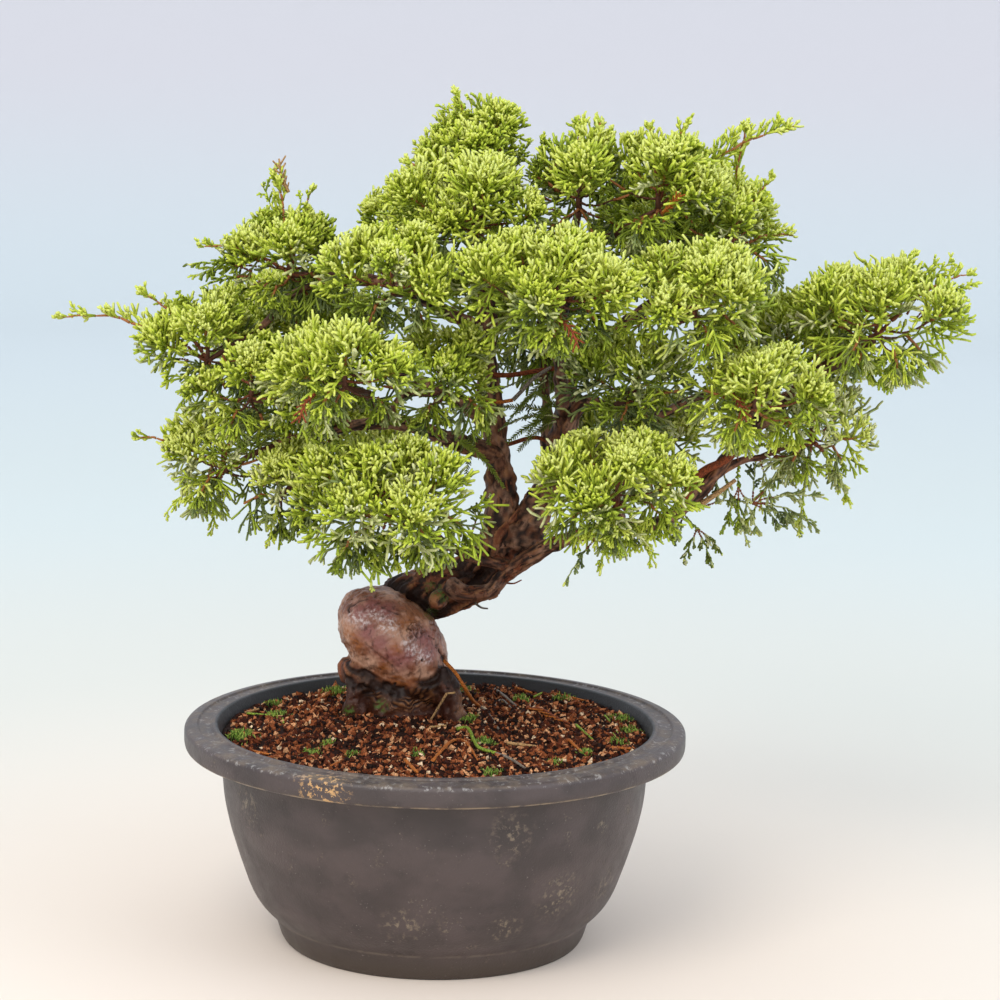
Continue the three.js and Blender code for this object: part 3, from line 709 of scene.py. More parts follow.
# %% Grow the limbs
ENTRY = 0.8
SIDE_SHARE = 0.62
SIDE_TIP = 1.5
SIDE_BEND = 0.4
SIDE_SWEEP = 0.28
PATH_POINTS = 121


def entry(pad, start):
    """The place where a bough that comes from a point enters a pad."""
    number = PADS.index(pad)
    share = shares_of(start[None])[0, number]
    return PAD_AT[number] + (start - PAD_AT[number]) * min(ENTRY / share, 0.9)


def grow_limbs():
    """Every limb as {name: (pad, path, radii)}: main limbs first, then side boughs from their limbs."""
    grown = {}
    for name, (pad, points, radii) in LIMBS.items():
        points = np.array(points, float)
        path = smooth_path(np.vstack([points, entry(pad, points[-1])]), PATH_POINTS)
        grown[name] = (pad, path, radii)
    rows = [(parent, pad, share) for parent, pads in SIDE_BOUGHS.items() for pad, share in pads.items()]
    for parent, pad, share in rows:
        _, path, radii = grown[parent]
        here = round(share * (PATH_POINTS - 1))
        start, slope = path[here], unit(path[here + 1] - path[here - 1])
        end = entry(pad, start)
        bend = start + (end - start) * SIDE_BEND + slope * np.linalg.norm(end - start) * SIDE_SWEEP
        thick = max(SIDE_SHARE * (radii[0] + (radii[1] - radii[0]) * share), SIDE_TIP + 0.4)
        grown["bough_" + pad] = (pad, smooth_path([start, bend, end], PATH_POINTS), (thick, SIDE_TIP))
    return grown


limbs = grow_limbs()
steps = np.linspace(0, 1, PATH_POINTS)
wood_points = np.vstack([path[::5] for _, path, _ in limbs.values()])
wood_radius = np.concatenate([np.interp(steps[::5], (0, 1), radii) for _, _, radii in limbs.values()])
print("limbs:", len(limbs), "points down their middles:", len(wood_points))

# %% [markdown]
# ## The trunk
#
# The trunk was bent when it was young and has swollen over the bends ever since: a foot with root flutes,
# a knuckle that leans to the left, rolls of bark pressed together under it, and an upper trunk that leaves
# the back of the knuckle to the right. No single outline gives that, but simple closed shapes that overlap
# do. A voxel remesh melts them into one skin, and smoothing turns the creases into soft fillets.

# %% The trunk's shapes
FOOT_HEIGHT_ABOVE = 36
FOOT_DRIFT = (-8, -4)
FOOT_THICK = 20
FOOT_FLARE = 0.36
# The flutes round the foot: how many, how deep as a share of the radius, and where they start.
FOOT_FLUTES = ((5, 0.09, 0.6), (11, 0.03, 0))
KNUCKLE_AT = np.array([-21.5, 37, 131.5])
KNUCKLE_SIZE = np.array([30, 24, 20])
KNUCKLE_LEAN = 40
# The middle of the upper trunk, from inside the knuckle to the fork.
UPPER_TRUNK = [(-24, 46, 141), (-11, 51, 148), (8, 51, 155.5), (24, 47, 166), (33, 46, 181)]
FOOT_POINTS = 50
FOOT_SIDES = 72


def leant(points, degrees):
    """Points turned about the Y axis, from Z towards X."""
    tilt = math.radians(degrees)
    x, y, z = np.moveaxis(points, -1, 0)
    across = x * math.cos(tilt) + z * math.sin(tilt)
    height = z * math.cos(tilt) - x * math.sin(tilt)
    return np.stack([across, y, height], -1)


def swelling(centre, size, lean, rows=40, columns=64):
    """An ellipsoid: latitude by longitude on a unit ball, stretched, leant about Y, then moved."""
    up = np.linspace(-TAU / 4, TAU / 4, rows)[:, None]
    angle = all_round(columns)
    ball = np.stack([np.cos(up) * np.cos(angle), np.cos(up) * np.sin(angle), np.sin(up) + 0 * angle], -1)
    return leant(ball * np.array(size), lean) + np.array(centre)


def tapered(points, radii, power=1.0, rows=60, columns=24):
    """A tube through named points whose radius runs from the first to the second by a power curve."""
    radius = radii[0] + (radii[1] - radii[0]) * np.linspace(0, 1, rows) ** power
    return rings(smooth_path(points, rows), radius, columns)


def foot():
    """The foot: a tube that flares by a square law towards the ground, with flutes that fade upwards."""
    x, y = FOOT_AT
    drift_x, drift_y = FOOT_DRIFT
    middle = (x + drift_x * 0.75, y + drift_y * 0.5, GROUND + FOOT_HEIGHT_ABOVE / 2)
    end = (x + drift_x, y + drift_y, GROUND + FOOT_HEIGHT_ABOVE)
    path = smooth_path([(x, y, GROUND - 4), (x, y, GROUND), middle, end], FOOT_POINTS)
    share = np.linspace(0.2, 1, FOOT_POINTS)[:, None]
    angle = all_round(FOOT_SIDES)
    flare = 1 + FOOT_FLARE * (1 - share) ** 2
    flutes = 1 + (1 - share) * sum(deep * np.cos(many * angle + start) for many, deep, start in FOOT_FLUTES)
    return rings(path, FOOT_THICK * flare * flutes, FOOT_SIDES)

# %% All the shapes of the trunk
def stub(name, reach=0.34):
    """The first stretch of a limb, thicker at its root and thinner than the limb at its end, so that the
    trunk's skin runs out onto the limb and sinks under its bark."""
    _, path, radii = limbs[name]
    rows = int(reach * PATH_POINTS)
    share = np.linspace(0, 1, rows)
    radius = (radii[0] + (radii[1] - radii[0]) * (share * reach) ** 0.85) * (1.16 - 0.42 * share)
    return rings(path[:rows], radius, 24)


trunk_shapes = [
    foot(),
    # The knuckle, the rolls of bark pressed together under it, the swelling at the fork, the upper trunk.
    swelling(KNUCKLE_AT, KNUCKLE_SIZE, KNUCKLE_LEAN),
    swelling((-35, 35, 119), (11, 14, 8), -12),
    swelling((-34.5, 33, 113.5), (11, 13.5, 3), -6),
    swelling((-8, 30, 113), (16, 14, 8), 24),
    swelling((33, 45, 180), (14.5, 11, 10), 0),
    tapered(UPPER_TRUNK, (15.5, 10.5), 0.7),
    # Two root flutes, the roll of bark on top of the knuckle, and the first stretch of four limbs.
    tapered([(2, 24, 122), (6, 20, 108), (11, 20, 90)], (4.5, 5.5)),
    tapered([(-36, 28, 116), (-38, 26, 106), (-40, 26, 90)], (5, 6)),
    tapered([(-4, 38, 147), (-1, 31, 150.5), (3, 33, 156)], (3.2, 3.4)),
    stub("leader_left"),
    stub("leader_right"),
    stub("bough_right", 0.3),
    stub("bough_front_left", 0.5),
]
trunk_points, trunk_faces = gather([capped_tube(shape) for shape in trunk_shapes])
print("overlapping shapes:", len(trunk_shapes), "points:", len(trunk_points))

# %% Melt them into one skin
VOXEL = 1.2
SMOOTHING_ROUNDS = 7


def melted(name, points, faces):
    """One skin round overlapping shapes: voxel remesh, some rounds of smoothing, one subdivision."""
    rough = make_piece(name + "_rough", points, faces, [])
    for kind, settings in (
        ("REMESH", {"mode": "VOXEL", "voxel_size": VOXEL * MM}),
        ("SMOOTH", {"factor": 0.5, "iterations": SMOOTHING_ROUNDS}),
        ("SUBSURF", {"levels": 1, "render_levels": 1}),
    ):
        modifier = rough.modifiers.new(kind.lower(), kind)
        for setting, value in settings.items():
            setattr(modifier, setting, value)
    mesh = bpy.data.meshes.new_from_object(rough.evaluated_get(bpy.context.evaluated_depsgraph_get()))
    bpy.data.objects.remove(rough)
    mesh.name = name
    skin = bpy.data.objects.new(name, mesh)
    bpy.context.scene.collection.objects.link(skin)
    return skin


def read_points(mesh):
    """The points of a mesh in millimetres, and the directions in which they face."""
    flat = np.empty(len(mesh.vertices) * 3, np.float32)
    mesh.vertices.foreach_get("co", flat)
    facing = np.empty_like(flat)
    mesh.vertex_normals.foreach_get("vector", facing)
    return flat.reshape(-1, 3).astype(float) / MM, facing.reshape(-1, 3).astype(float)


trunk = melted("trunk_bark", trunk_points, trunk_faces)
skin_points, skin_facing = read_points(trunk.data)
print("trunk skin points:", len(skin_points))

# %% [markdown]
# ### Bark relief
#
# Juniper bark peels in long fibres on the twisted upper wood, which bulges in strands like muscles. Over
# the knuckle the tree has stretched its bark smooth, thin, shiny and purple. The relief follows that:
# strands and fibres that run along the wood, a crease all round the knuckle, and a few named marks: a round
# healed knot, cracks, and folds like those of a sleeve where the knuckle presses on the foot. The marks are
# also kept as two colour attributes, so that the finish can darken the cracks, redden the wet foot, lay
# painted shade beside and under the knuckle, in the hollows and between the folds, and lay painted glints
# of light on the worn skin. In the boughs' own two there are only the dark grooves and pale crests of
# their fibres.

# %% Named marks on the trunk
KNOT = np.array([-10.5, 16, 139.7])
CRACKS = [
    [(-41.7, 24, 146.4), (-42, 25, 147.8), (-38.4, 23, 151.3), (-35.2, 22, 153.1), (-29.9, 21, 153.4)],
    [(-29.9, 21, 153.4), (-29.8, 24, 154.8), (-27.6, 26, 155.4)],
    [(-29.2, 21, 153.3), (-25.8, 18, 150.7), (-23.9, 17, 149.5), (-18.4, 17, 147.8)],
    [(0, 24, 131.4), (2.3, 28, 126.6), (3.7, 31, 122.1)],
]
SEAMS = [
    [(-34.8, 17, 134.5), (-29.1, 15, 129.8), (-22.1, 14.5, 124.4), (-17.6, 16, 118.9)],
    [(-6.1, 22, 142.8), (-3.3, 24, 140.2), (-0.2, 28, 136.4)],
]
# Where pale glints of light are painted on the knuckle's shiny skin.
GLINT_PLACES = [
    (-40.1, 23, 144), (-37.1, 20, 144.2), (-34.3, 18, 143.7), (-30.6, 17, 147.3), (-26.8, 15.5, 146.3),
    (-23, 15, 144.6), (-21.1, 14.5, 141.4), (-24.8, 14.5, 142.3), (-11.7, 15, 131.1), (-8.5, 17, 128.3),
    (-5.8, 19, 127), (-13.6, 14.5, 133.5),
]
PURPLE_PLACES = [
    (-32.2, 15.5, 138.6), (-26.6, 14, 134.3), (-20.9, 14, 129.2), (-17.7, 14.5, 126.3), (-5.9, 18, 135.3),
    (-4, 20, 130.1), (-36.3, 20, 147.5), (-30.7, 19, 150.2), (-24.5, 16, 148.6), (-15, 14, 128),
]
ORANGE_PLACES = [
    (-42.4, 24, 137.6), (-39.9, 21, 135.4), (-37.4, 19, 132.6), (-15.6, 14.5, 142.9), (-13.3, 15.5, 144.2),
    (-18.7, 14, 132.1), (-24.1, 15, 122.3), (-18.1, 17, 116.3), (-15.8, 18, 114.2), (-11, 18, 113.5),
]
# Places under the knuckle, sunk a little and darkened with painted shadow.
DARK_PLACES = [
    (-39.8, 24, 113), (-35, 21, 112.6), (-29.4, 20, 112.6), (-23.7, 19, 111.6), (-20, 19, 109.5),
    (-4.3, 22, 116.5), (1, 24, 117.5), (-32, 21, 109),
]
WET_PLACES = [
    (-0.1, 22, 113.6), (3.3, 22, 108.4), (6.2, 22, 103.1), (1.5, 21, 101.9), (-3.2, 20, 106.3), (3, 21, 97),
]
TAN_PLACES = [
    (8.7, 24, 116.1), (10.7, 23, 111.6), (12.2, 22, 107.1), (11.8, 22, 101.8), (-41, 24, 118),
    (-36, 21, 117),
]
MOSS_PLACES = [
    (-0.9, 31, 156.4), (2.9, 30, 153.9), (-4.2, 32, 157.1), (-3.5, 33, 145), (-26, 20, 103), (-41, 24, 99),
]
# Hollows: the places, how wide each is and how deep it goes in.
HOLLOWS = [
    ([(13, 33, 163.5), (18, 33, 163), (23, 33, 165), (9, 33, 165.5)], 4.4, 5.0),
    ([(-12, 35, 149.5), (-7.5, 34, 146.6), (-3.4, 34, 143.6)], 3.8, 2.8),
    (DARK_PLACES, 3.2, 1.9),
]
# Where the knuckle runs on into the foot, with no crease between them.
BLENDS = [(-42, 24, 120), (-38, 21, 118.5), (-27, 18, 117), (-20, 17, 115), (-14, 17, 114.5)]
FOLD_CENTRE = np.array([-15, 20, 119])
FOLD_WIDTH = 2.5

# %% Fibres, scratches and distances on the skin
def stream(points, path, radius):
    """Where each point lies on a limb: how far along it, as an angle round it, and how deep in it."""
    across, other = square_ways(path)
    gap = np.linalg.norm(points[:, None] - path[None], axis=2) / radius
    nearest = gap.argmin(1)
    out = points - path[nearest]
    angle = np.arctan2((out * other[nearest]).sum(1), (out * across[nearest]).sum(1))
    return walked_along(path)[nearest], angle, gap.min(1)


def fibres(along, angle, radius, seed, twist=0.02, length=1.9):
    """Long fibres: noise on a drum of the limb's radius, stretched six times along it, slowly twisting."""
    turned_angle = angle + twist * along
    drum = np.stack([radius * np.cos(turned_angle), radius * np.sin(turned_angle), along / 6], -1)
    ridge = 1 - np.abs(waves(drum, length * 2.2, seed))
    return 0.6 * ridge + 0.4 * waves(drum, length, seed + 1)


def scratched(points, lines, width):
    """1 along lines through named points and 0 a width away from them, with a wandering edge."""
    edge = width * (1 + 0.4 * waves(points, 4, 31))
    return np.maximum.reduce([held(1 - front_gap(points, smooth_path(line, 60)) / edge) for line in lines])


def knuckle_share(points):
    """How far each point lies from the middle of the knuckle, in half-axes: 1 on its skin."""
    return np.linalg.norm(leant(points - KNUCKLE_AT, -KNUCKLE_LEAN) / KNUCKLE_SIZE, axis=1)

# %% Work out the trunk's relief
LIMBS_ON_SKIN = ("leader_left", "leader_right", "bough_right", "bough_front_left")
streams = [stream(skin_points, smooth_path(UPPER_TRUNK, 40), 12.0)]
streams += [stream(skin_points, limbs[name][1][:42:2], 6.0) for name in LIMBS_ON_SKIN]
weights = np.exp(-4 * np.stack([depth for _, _, depth in streams], 1))
weights /= weights.sum(1, keepdims=True)
fibre = sum(weights[:, i] * fibres(s[0], s[1], 7.0, 40 + i) for i, s in enumerate(streams))
strand = sum(weights[:, i] * fibres(s[0], s[1], 9.0, 60 + i, 0.03, 6.0) for i, s in enumerate(streams))

skin_x, skin_y, skin_z = skin_points.T
knuckle = knuckle_share(skin_points)
on_knuckle = ramp(knuckle, 1.08, 1.03)
off_knuckle = 1 - on_knuckle
front = ramp(skin_y, 54, 46) * (1 - 0.85 * near(skin_points, BLENDS, 5.5))
crease = bell(knuckle, 1.09, 0.05) * front
# Painted shade in the recess just outside the knuckle, at the front.
shade = bell(knuckle, 1.13, 0.1) * front
on_foot = ramp(skin_z, 116, 108) * (skin_x < 22) * off_knuckle
fibrous = (1 - np.maximum(on_knuckle, on_foot)) * (skin_z > 100)

fold_reach = np.linalg.norm((skin_points - FOLD_CENTRE) * (1, 0.35, 1.25), axis=1)
fold_phase = fold_reach + 1.3 * waves(skin_points, 15, 51) + 0.55 * waves(skin_points, 5, 52)
fold_zone = ramp(fold_reach, 8, 12) * ramp(fold_reach, 25, 20) * off_knuckle
fold_zone = fold_zone * ramp(skin_x, 2, -4) * ramp(skin_y, 40, 32) * ramp(skin_z, 118, 113)
folds = np.sin(TAU * fold_phase / FOLD_WIDTH) * np.clip(0.65 + 0.5 * waves(skin_points, 7, 53), 0.1, 1)

knot_reach = front_gap(skin_points, KNOT)
knot_zone = ramp(knot_reach, 5.4, 3.8)
knot_rings = np.cos(TAU * (knot_reach + 0.9 * waves(skin_points, 3.5, 61)) / 2.6)
cracks = scratched(skin_points, CRACKS, 0.75)
seam = scratched(skin_points, SEAMS, 0.6)
sunk = [near(skin_points, places, reach) * off_knuckle for places, reach, _ in HOLLOWS]
root_fluting = waves(skin_points * (1, 1, 0.3), 5.5, 71)
wrinkle = 1 - np.abs(waves(skin_points * (0.8, 1, 1.3), 5.0, 84))

relief = (
    (0.42 - 0.2 * on_knuckle) * waves(skin_points, 13, 81)
    + 0.14 * waves(skin_points, 4.5, 82) + 0.06 * waves(skin_points, 1.9, 83)
    + fibrous * (0.75 * (fibre - 0.3) + 1.3 * (strand - 0.35))
    + on_knuckle * 0.16 * (wrinkle - 0.7)
    + fold_zone * 0.42 * folds
    + on_foot * 0.45 * root_fluting
    + knot_zone * (0.32 * knot_rings + 0.3)
    - 1.2 * cracks - 0.35 * seam - 2.0 * crease
    - sum(depth * amount for amount, (_, _, depth) in zip(sunk, HOLLOWS))
)
skin_points = skin_points + skin_facing * relief[:, None]
trunk.data.vertices.foreach_set("co", (skin_points * MM).astype(np.float32).ravel())
print("bark relief from", round(float(relief.min()), 2), "to", round(float(relief.max()), 2), "mm")

# %% Keep the marks as colour attributes
def grooves(fibre):
    """How dark the bark is between its fibres, from the fibres' height."""
    return held(0.32 - fibre) * 1.6


def crests(fibre):
    """How pale the bark is along the top of a fibre."""
    return held(fibre - 0.56) * 1.8


streak = held(0.5 + 0.5 * waves(skin_points * (0.8, 1, 1.5), 3.2, 91))
blotch = held(0.5 + 0.75 * waves(skin_points, 2.1, 92))
# Dark marks: cracks, seams, knot rings and the grooves between fibres, and painted shade beside and under
# the knuckle, in the hollows and between the folds.
dark = held(
    1.3 * cracks + 0.6 * seam + 0.95 * shade * off_knuckle
    + 1.15 * sunk[0] + 1.0 * sunk[1] + 0.9 * near(skin_points, DARK_PLACES, 4.6) * off_knuckle
    + fold_zone * held(-folds - 0.1) * 1.1
    + fibrous * (grooves(fibre) + held(0.3 - strand) * 0.9)
    + knot_zone * held(-knot_rings) * 0.75
)
# Painted glints of light on the knuckle, and the pale rings of the knot.
glint_and_pale_rings = held(near(skin_points, GLINT_PLACES, 3.4) * (0.25 + 1.0 * blotch) - 0.1)
glint_and_pale_rings = held(glint_and_pale_rings + knot_zone * held(knot_rings) * 0.35)
orange = held(near(skin_points, ORANGE_PLACES, 3.2) * (0.25 + streak))
moss = held(near(skin_points, MOSS_PLACES, 3.4) * (0.2 + 1.3 * blotch) - 0.3)
purple = on_knuckle * held(near(skin_points, PURPLE_PLACES, 5.5) * 1.15)
wet = held(near(skin_points, WET_PLACES, 5.0) * 0.6 + 0.95 * on_foot) * off_knuckle
tan = near(skin_points, TAN_PLACES, 2.8) * 0.8 + fold_zone * held(folds + 0.2) * 1.1
tan = held(tan + fibrous * crests(fibre))


def keep_marks(piece, name, *columns):
    """Four values for each point, kept as a colour attribute of a piece."""
    marks = piece.data.attributes.new(name, "FLOAT_COLOR", "POINT")
    marks.data.foreach_set("color", np.stack(columns, 1).astype(np.float32).ravel())


keep_marks(trunk, "bark_marks", dark, glint_and_pale_rings, orange, moss)
keep_marks(trunk, "bark_kinds", on_knuckle, purple, wet, tan)
trunk.data.polygons.foreach_set("use_smooth", np.ones(len(trunk.data.polygons), bool))
trunk.data.update()

# %% Finish: juniper bark
def read_marks(tree, name):
    """The four values of a colour attribute, each as a socket."""
    marks = add_node(tree, "Attribute", {"attribute_name": name})
    parts = add_node(tree, "SeparateColor", inputs={0: marks.outputs["Color"]}).outputs
    return parts[0], parts[1], parts[2], marks.outputs["Alpha"]


def juniper_bark(name, plain, dark_tone, light_tone):
    """Bark: red brown with lighter and darker clouds, thin flakes and specks, dark between its fibres and
    pale along them. On the trunk the marks also turn the knuckle to smooth tan and purple skin with painted
    glints of light, redden the foot where it is wet, and lay scars, cracks and moss over it, with painted
    shade beside and under the knuckle, in the hollows and between the folds. The knuckle and the wet foot
    are also the shiniest."""
    material, tree, shader = new_material(name, plain, 0.62, Specular_IOR_Level=0.3)
    cloud = patterned(tree, "Noise", 9, Detail=3.0)
    flake = patterned(tree, "Noise", 2.4, (1, 1, 1.7), Detail=6.0, Roughness=0.65)
    speck = patterned(tree, "Noise", 0.9, Detail=3.0)
    grit = patterned(tree, "Noise", 1.5, Detail=4.0, Roughness=0.7)
    dark, glint_and_pale_rings, orange, moss = read_marks(tree, "bark_marks")
    smooth, purple, wet, tan = read_marks(tree, "bark_kinds")
    worn = layered(tree, "8c5a40", [("c0937a", (cloud, 0.42, 0.6))])
    # The smooth skin of the knuckle has fewer dark flakes.
    inputs = {0: smooth, 1: -0.25, 2: 0.8}
    flaking = add_node(tree, "Math", {"operation": "MULTIPLY_ADD"}, inputs).outputs[0]
    colour = layered(tree, plain, [
        (light_tone, (cloud, 0.45, 0.62)),
        (worn, smooth),
        ("8d5452", purple, 0.85),
        ("3a1a0e", wet),
        ("9d6a42", tan, 0.8),
        (dark_tone, (flake, 0.5, 0.66), flaking),
        ("b08a74", (speck, 0.6, 0.74), 0.3),
        ("a35f2c", orange, 0.7),
        # Painted glints of light, broken up by the grit pattern.
        ("dccac8", glint_and_pale_rings, (grit, 0.36, 0.62)),
        # Dark cracks, grooves and knot rings, and painted shade in the recesses, hollows and folds.
        ("1a0d09", dark, 0.94),
        ("4c6427", moss),
    ])
    shinier = ((smooth, -0.26), (wet, -0.14))
    connect(tree, shader, colour, (flake, 0.48, 0.72), flake, 0.7, 0.7, shinier)
    return material


trunk.data.materials.append(juniper_bark("juniper_bark", "7e4328", "331a10", "a0694b"))
settle(trunk, "bark", "trunk")

# %% [markdown]
# ## Leaders and boughs
#
# Above the fork each limb is a tube along its path, with fibres and lumps added to its radius before the
# points are placed. The thick ones are two strands that wind round each other, so their section is an oval
# that turns. Each root is sunk in the wood it springs from, with a collar that swells by a third.

# %% Make the limbs
LIMB_STEP = 0.9
LIMB_TAPER = 0.85
STRANDED = 3.6
STRAND_TWIST = 0.07
STRAND_DEPTH = 0.16
COLLAR = 0.34


def bark_tube(path, radii, seed):
    """A limb's grid: radius by a power curve, a collar at the root, lumps, and fibres that twist round. It
    comes with the height of the fibre at each point of the closed tube."""
    length = walked_along(path)[-1]
    rows = max(16, int(length / LIMB_STEP))
    columns = 30 if radii[0] > STRANDED else 14
    path = smooth_path(path[::4], rows)
    share = np.linspace(0, 1, rows)[:, None]
    angle = all_round(columns) + 0 * share
    along = share * length + 0 * angle
    plain = radii[0] + (radii[1] - radii[0]) * share**LIMB_TAPER
    collar = 1 + COLLAR * bell(share * length, 0, 2.2 * radii[0])
    fibre = fibres(along, angle, float(plain.mean()), seed, 0.035, 1.5)
    radius = plain * collar + (0.05 + 0.075 * plain) * (fibre - 0.3)
    if radii[0] > STRANDED:
        oval = np.cos(2 * (angle + STRAND_TWIST * along)) * held(share * 6)
        radius = radius * (1 + STRAND_DEPTH * oval)
    lumps = waves(rings(path, radius, columns), 8, seed + 7) * 0.07 * plain
    return rings(path, radius + lumps, columns), np.append(fibre, [0.5, 0.5])


bark_tubes = [bark_tube(path, radii, 200 + 9 * i) for i, (_, path, radii) in enumerate(limbs.values())]
limb_points, limb_faces = gather([capped_tube(grid) for grid, _ in bark_tubes])
young_bark = juniper_bark("young_juniper_bark", "724630", "381f17", "98705a")
boughs = make_piece("bough_bark", limb_points, limb_faces, [young_bark])
bough_fibre = np.concatenate([heights for _, heights in bark_tubes])
none = np.zeros(len(bough_fibre))
keep_marks(boughs, "bark_marks", held(grooves(bough_fibre)), none, none, none)
keep_marks(boughs, "bark_kinds", none, none, none, held(crests(bough_fibre)))
settle(boughs, "bark", *limbs)

# %% [markdown]
# ## The foliage
#
# An Itoigawa juniper has no needles to speak of. Its leaves are scales pressed flat to the shoot, so a
# shoot looks like a piece of green cord a little over a millimetre thick with a blunt, paler tip. Each
# forks again and again, and a hundred or two of them together make a rounded tuft. A pad of foliage is
# some ten such tufts round one stem.
#
# Copies of one tuft look stamped, so the tree's own habit is written down as a rule. A leader rises from
# the heart of a pad, and ribs, its thin twigs, go out from it evenly to all sides, each to the foot of a
# tuft. In a tuft, sprays leave a short branchlet all the way up, and every spray forks twice, into three
# each time. A whole generation of shoots is one array, and each generation is worked out from the one
# before. A shoot that would leave its pad's space or touch a limb isn't grown.

# %% The growth rule
HEART_DROP = 0.16
SPACE_MARGIN = 0.035
TUFT_AREA = 1500
TUFT_PLACE = (0.28, 0.56)
TUFT_REACH = (16, 27)
TUFT_UPWARD = 0.36
BRANCHLET = 0.45
LEADERS = 0.12
GENERATIONS = (0.41, 0.36, 0.23)
FORKS = 3
LEANS = (0.62, 0.78)
# Where a shoot's children leave it: one at its end, the others at shares of its length.
FORK_PLACES = np.array([1.0, 0.6, 0.84])
SHOOT_RADIUS = 0.76
STALK_SHARE = 0.86
GOLDEN = math.pi * (3 - math.sqrt(5))
# How much ways, lengths and radii vary: the width of a bell curve, or the two ends of an even choice.
SPRAY_STRAY = 0.13
SPRAY_LENGTHS = (0.78, 1.08)
LEADER_LENGTH = 1.3
FORK_STRAY = 0.14
FORK_LEANS = (0.75, 1.3)
STEP_LENGTHS = (0.75, 1.25)
SHOOT_RADII = (0.86, 1.12)
SHOOT_ARCH = 0.11
LEADER_RISE = 0.34
RIB_STEPS = 4
RIB_SAG = 0.12
RIB_RADII = (0.85, 0.5)
RIB_SPRAYS = (0.36, 0.52, 0.68, 0.84)
RIB_SPRAY_LENGTH = (10, 17)
# Each kind of tuft: sprays, thickness, how far it opens (a cosine), lift of its shoots, shift to darker,
# which paints shade on the shaded and inner tufts.
TUFT_KINDS = {
    "sunny": (27, 1.0, -0.05, 0.27, 0.0),
    "shaded": (13, 0.85, -0.15, -0.3, 0.7),
    "inner": (11, 0.85, 0.0, 0.0, 2.0),
}

# %% Where shoots may grow, and which way
def even_directions(count):
    """Directions spread evenly over a sphere by the golden angle."""
    index = np.arange(count)
    height = 1 - 2 * (index + 0.5) / count
    level = np.sqrt(1 - height**2)
    angle = index * GOLDEN
    return np.stack([level * np.cos(angle), level * np.sin(angle), height], 1)


def in_own_place(number, points, skin=1.02):
    """True where a point is in its pad, no other pad has a better claim, and no wood is near."""
    share = shares_of(points)
    own = share[:, number].copy()
    share[:, number] = np.inf
    free = share.min(1) > np.minimum(own + SPACE_MARGIN, 1)
    gap = np.linalg.norm(points[:, None] - wood_points[None], axis=2) - wood_radius
    return free & (own < skin) & (gap.min(1) > SHOOT_RADIUS)


def square_to(ways, random):
    """Two directions square to each way and to each other, turned at random."""
    side = unit(np.cross(ways, random.normal(size=ways.shape)))
    return side, np.cross(ways, side)


def tuft_sprays(middle, axis, reach, count, widest, random):
    """The sprays of each tuft. They leave a short branchlet all the way up it by the golden angle, the
    lowest wide and the last straight on, each as long as it takes to reach a ball round the tuft's foot.
    One in eight leads, and stands out of the ball."""
    rank = (np.arange(count) + 0.5) / count
    height = widest + (1 - widest) * rank
    level = np.sqrt(1 - height**2)
    side, other = square_to(axis, random)
    angle = np.arange(count) * GOLDEN + TAU * random.random((len(axis), 1))
    flat = turned_to(angle, side[:, None], other[:, None])
    way = axis[:, None] * height[:, None] + flat * level[:, None]
    way = unit(way + random.normal(scale=SPRAY_STRAY, size=way.shape))
    stand = BRANCHLET * reach[:, None] * rank
    start = middle[:, None] + axis[:, None] * stand[..., None]
    along = stand * (axis[:, None] * way).sum(-1)
    length = np.sqrt(along**2 + reach[:, None] ** 2 - stand**2) - along
    length = length * random.uniform(*SPRAY_LENGTHS, length.shape)
    length = length * np.where(random.random(length.shape) < LEADERS, LEADER_LENGTH, 1)
    return start.reshape(-1, 3), way.reshape(-1, 3), length.ravel()


def fork(way, lean, random):
    """The ways of each shoot's children: one goes on, the others lean out evenly to the sides of it."""
    aside_count = FORKS - 1
    side, other = square_to(way, random)
    angle = all_round(aside_count) + 0.5 * random.normal(size=(len(way), aside_count))
    flat = turned_to(angle, side[:, None], other[:, None])
    tilt = lean * random.uniform(*FORK_LEANS, (len(way), aside_count, 1))
    aside = way[:, None] * np.cos(tilt) + flat * np.sin(tilt)
    ahead = unit(way + random.normal(scale=FORK_STRAY, size=way.shape))
    return np.concatenate([ahead[:, None], aside], 1)

# %% Grow and fork
class Growth:
    """One pad as it grows: its number, looks and random draws, and its shoots and twigs, kept as arrays of
    start, end, radius and tone."""

    def __init__(self, number):
        self.number = number
        self.random = np.random.default_rng(500 + number)
        self.looks = PAD_LOOKS.get(PADS[number], (0, 0, 1))
        self.kinds = {"twig": [], "stalk": [], "shoot": [], "tip": [], "needle": []}

    def add(self, kind, start, end, radius, tone):
        """Keeps a generation. One radius or tone counts for all of it."""
        radius, tone = [np.broadcast_to(value, len(start)) for value in (radius, tone)]
        self.kinds[kind].append((start, end, radius, tone))

    def all(self, kind):
        """Everything of one kind, as four arrays."""
        if not self.kinds[kind]:
            return [np.zeros((0, 3)), np.zeros((0, 3)), np.zeros(0), np.zeros(0, int)]
        return [np.concatenate(column) for column in zip(*self.kinds[kind])]

    def count(self, kind):
        """How many there are of one kind."""
        return sum(len(start) for start, _, _, _ in self.kinds[kind])


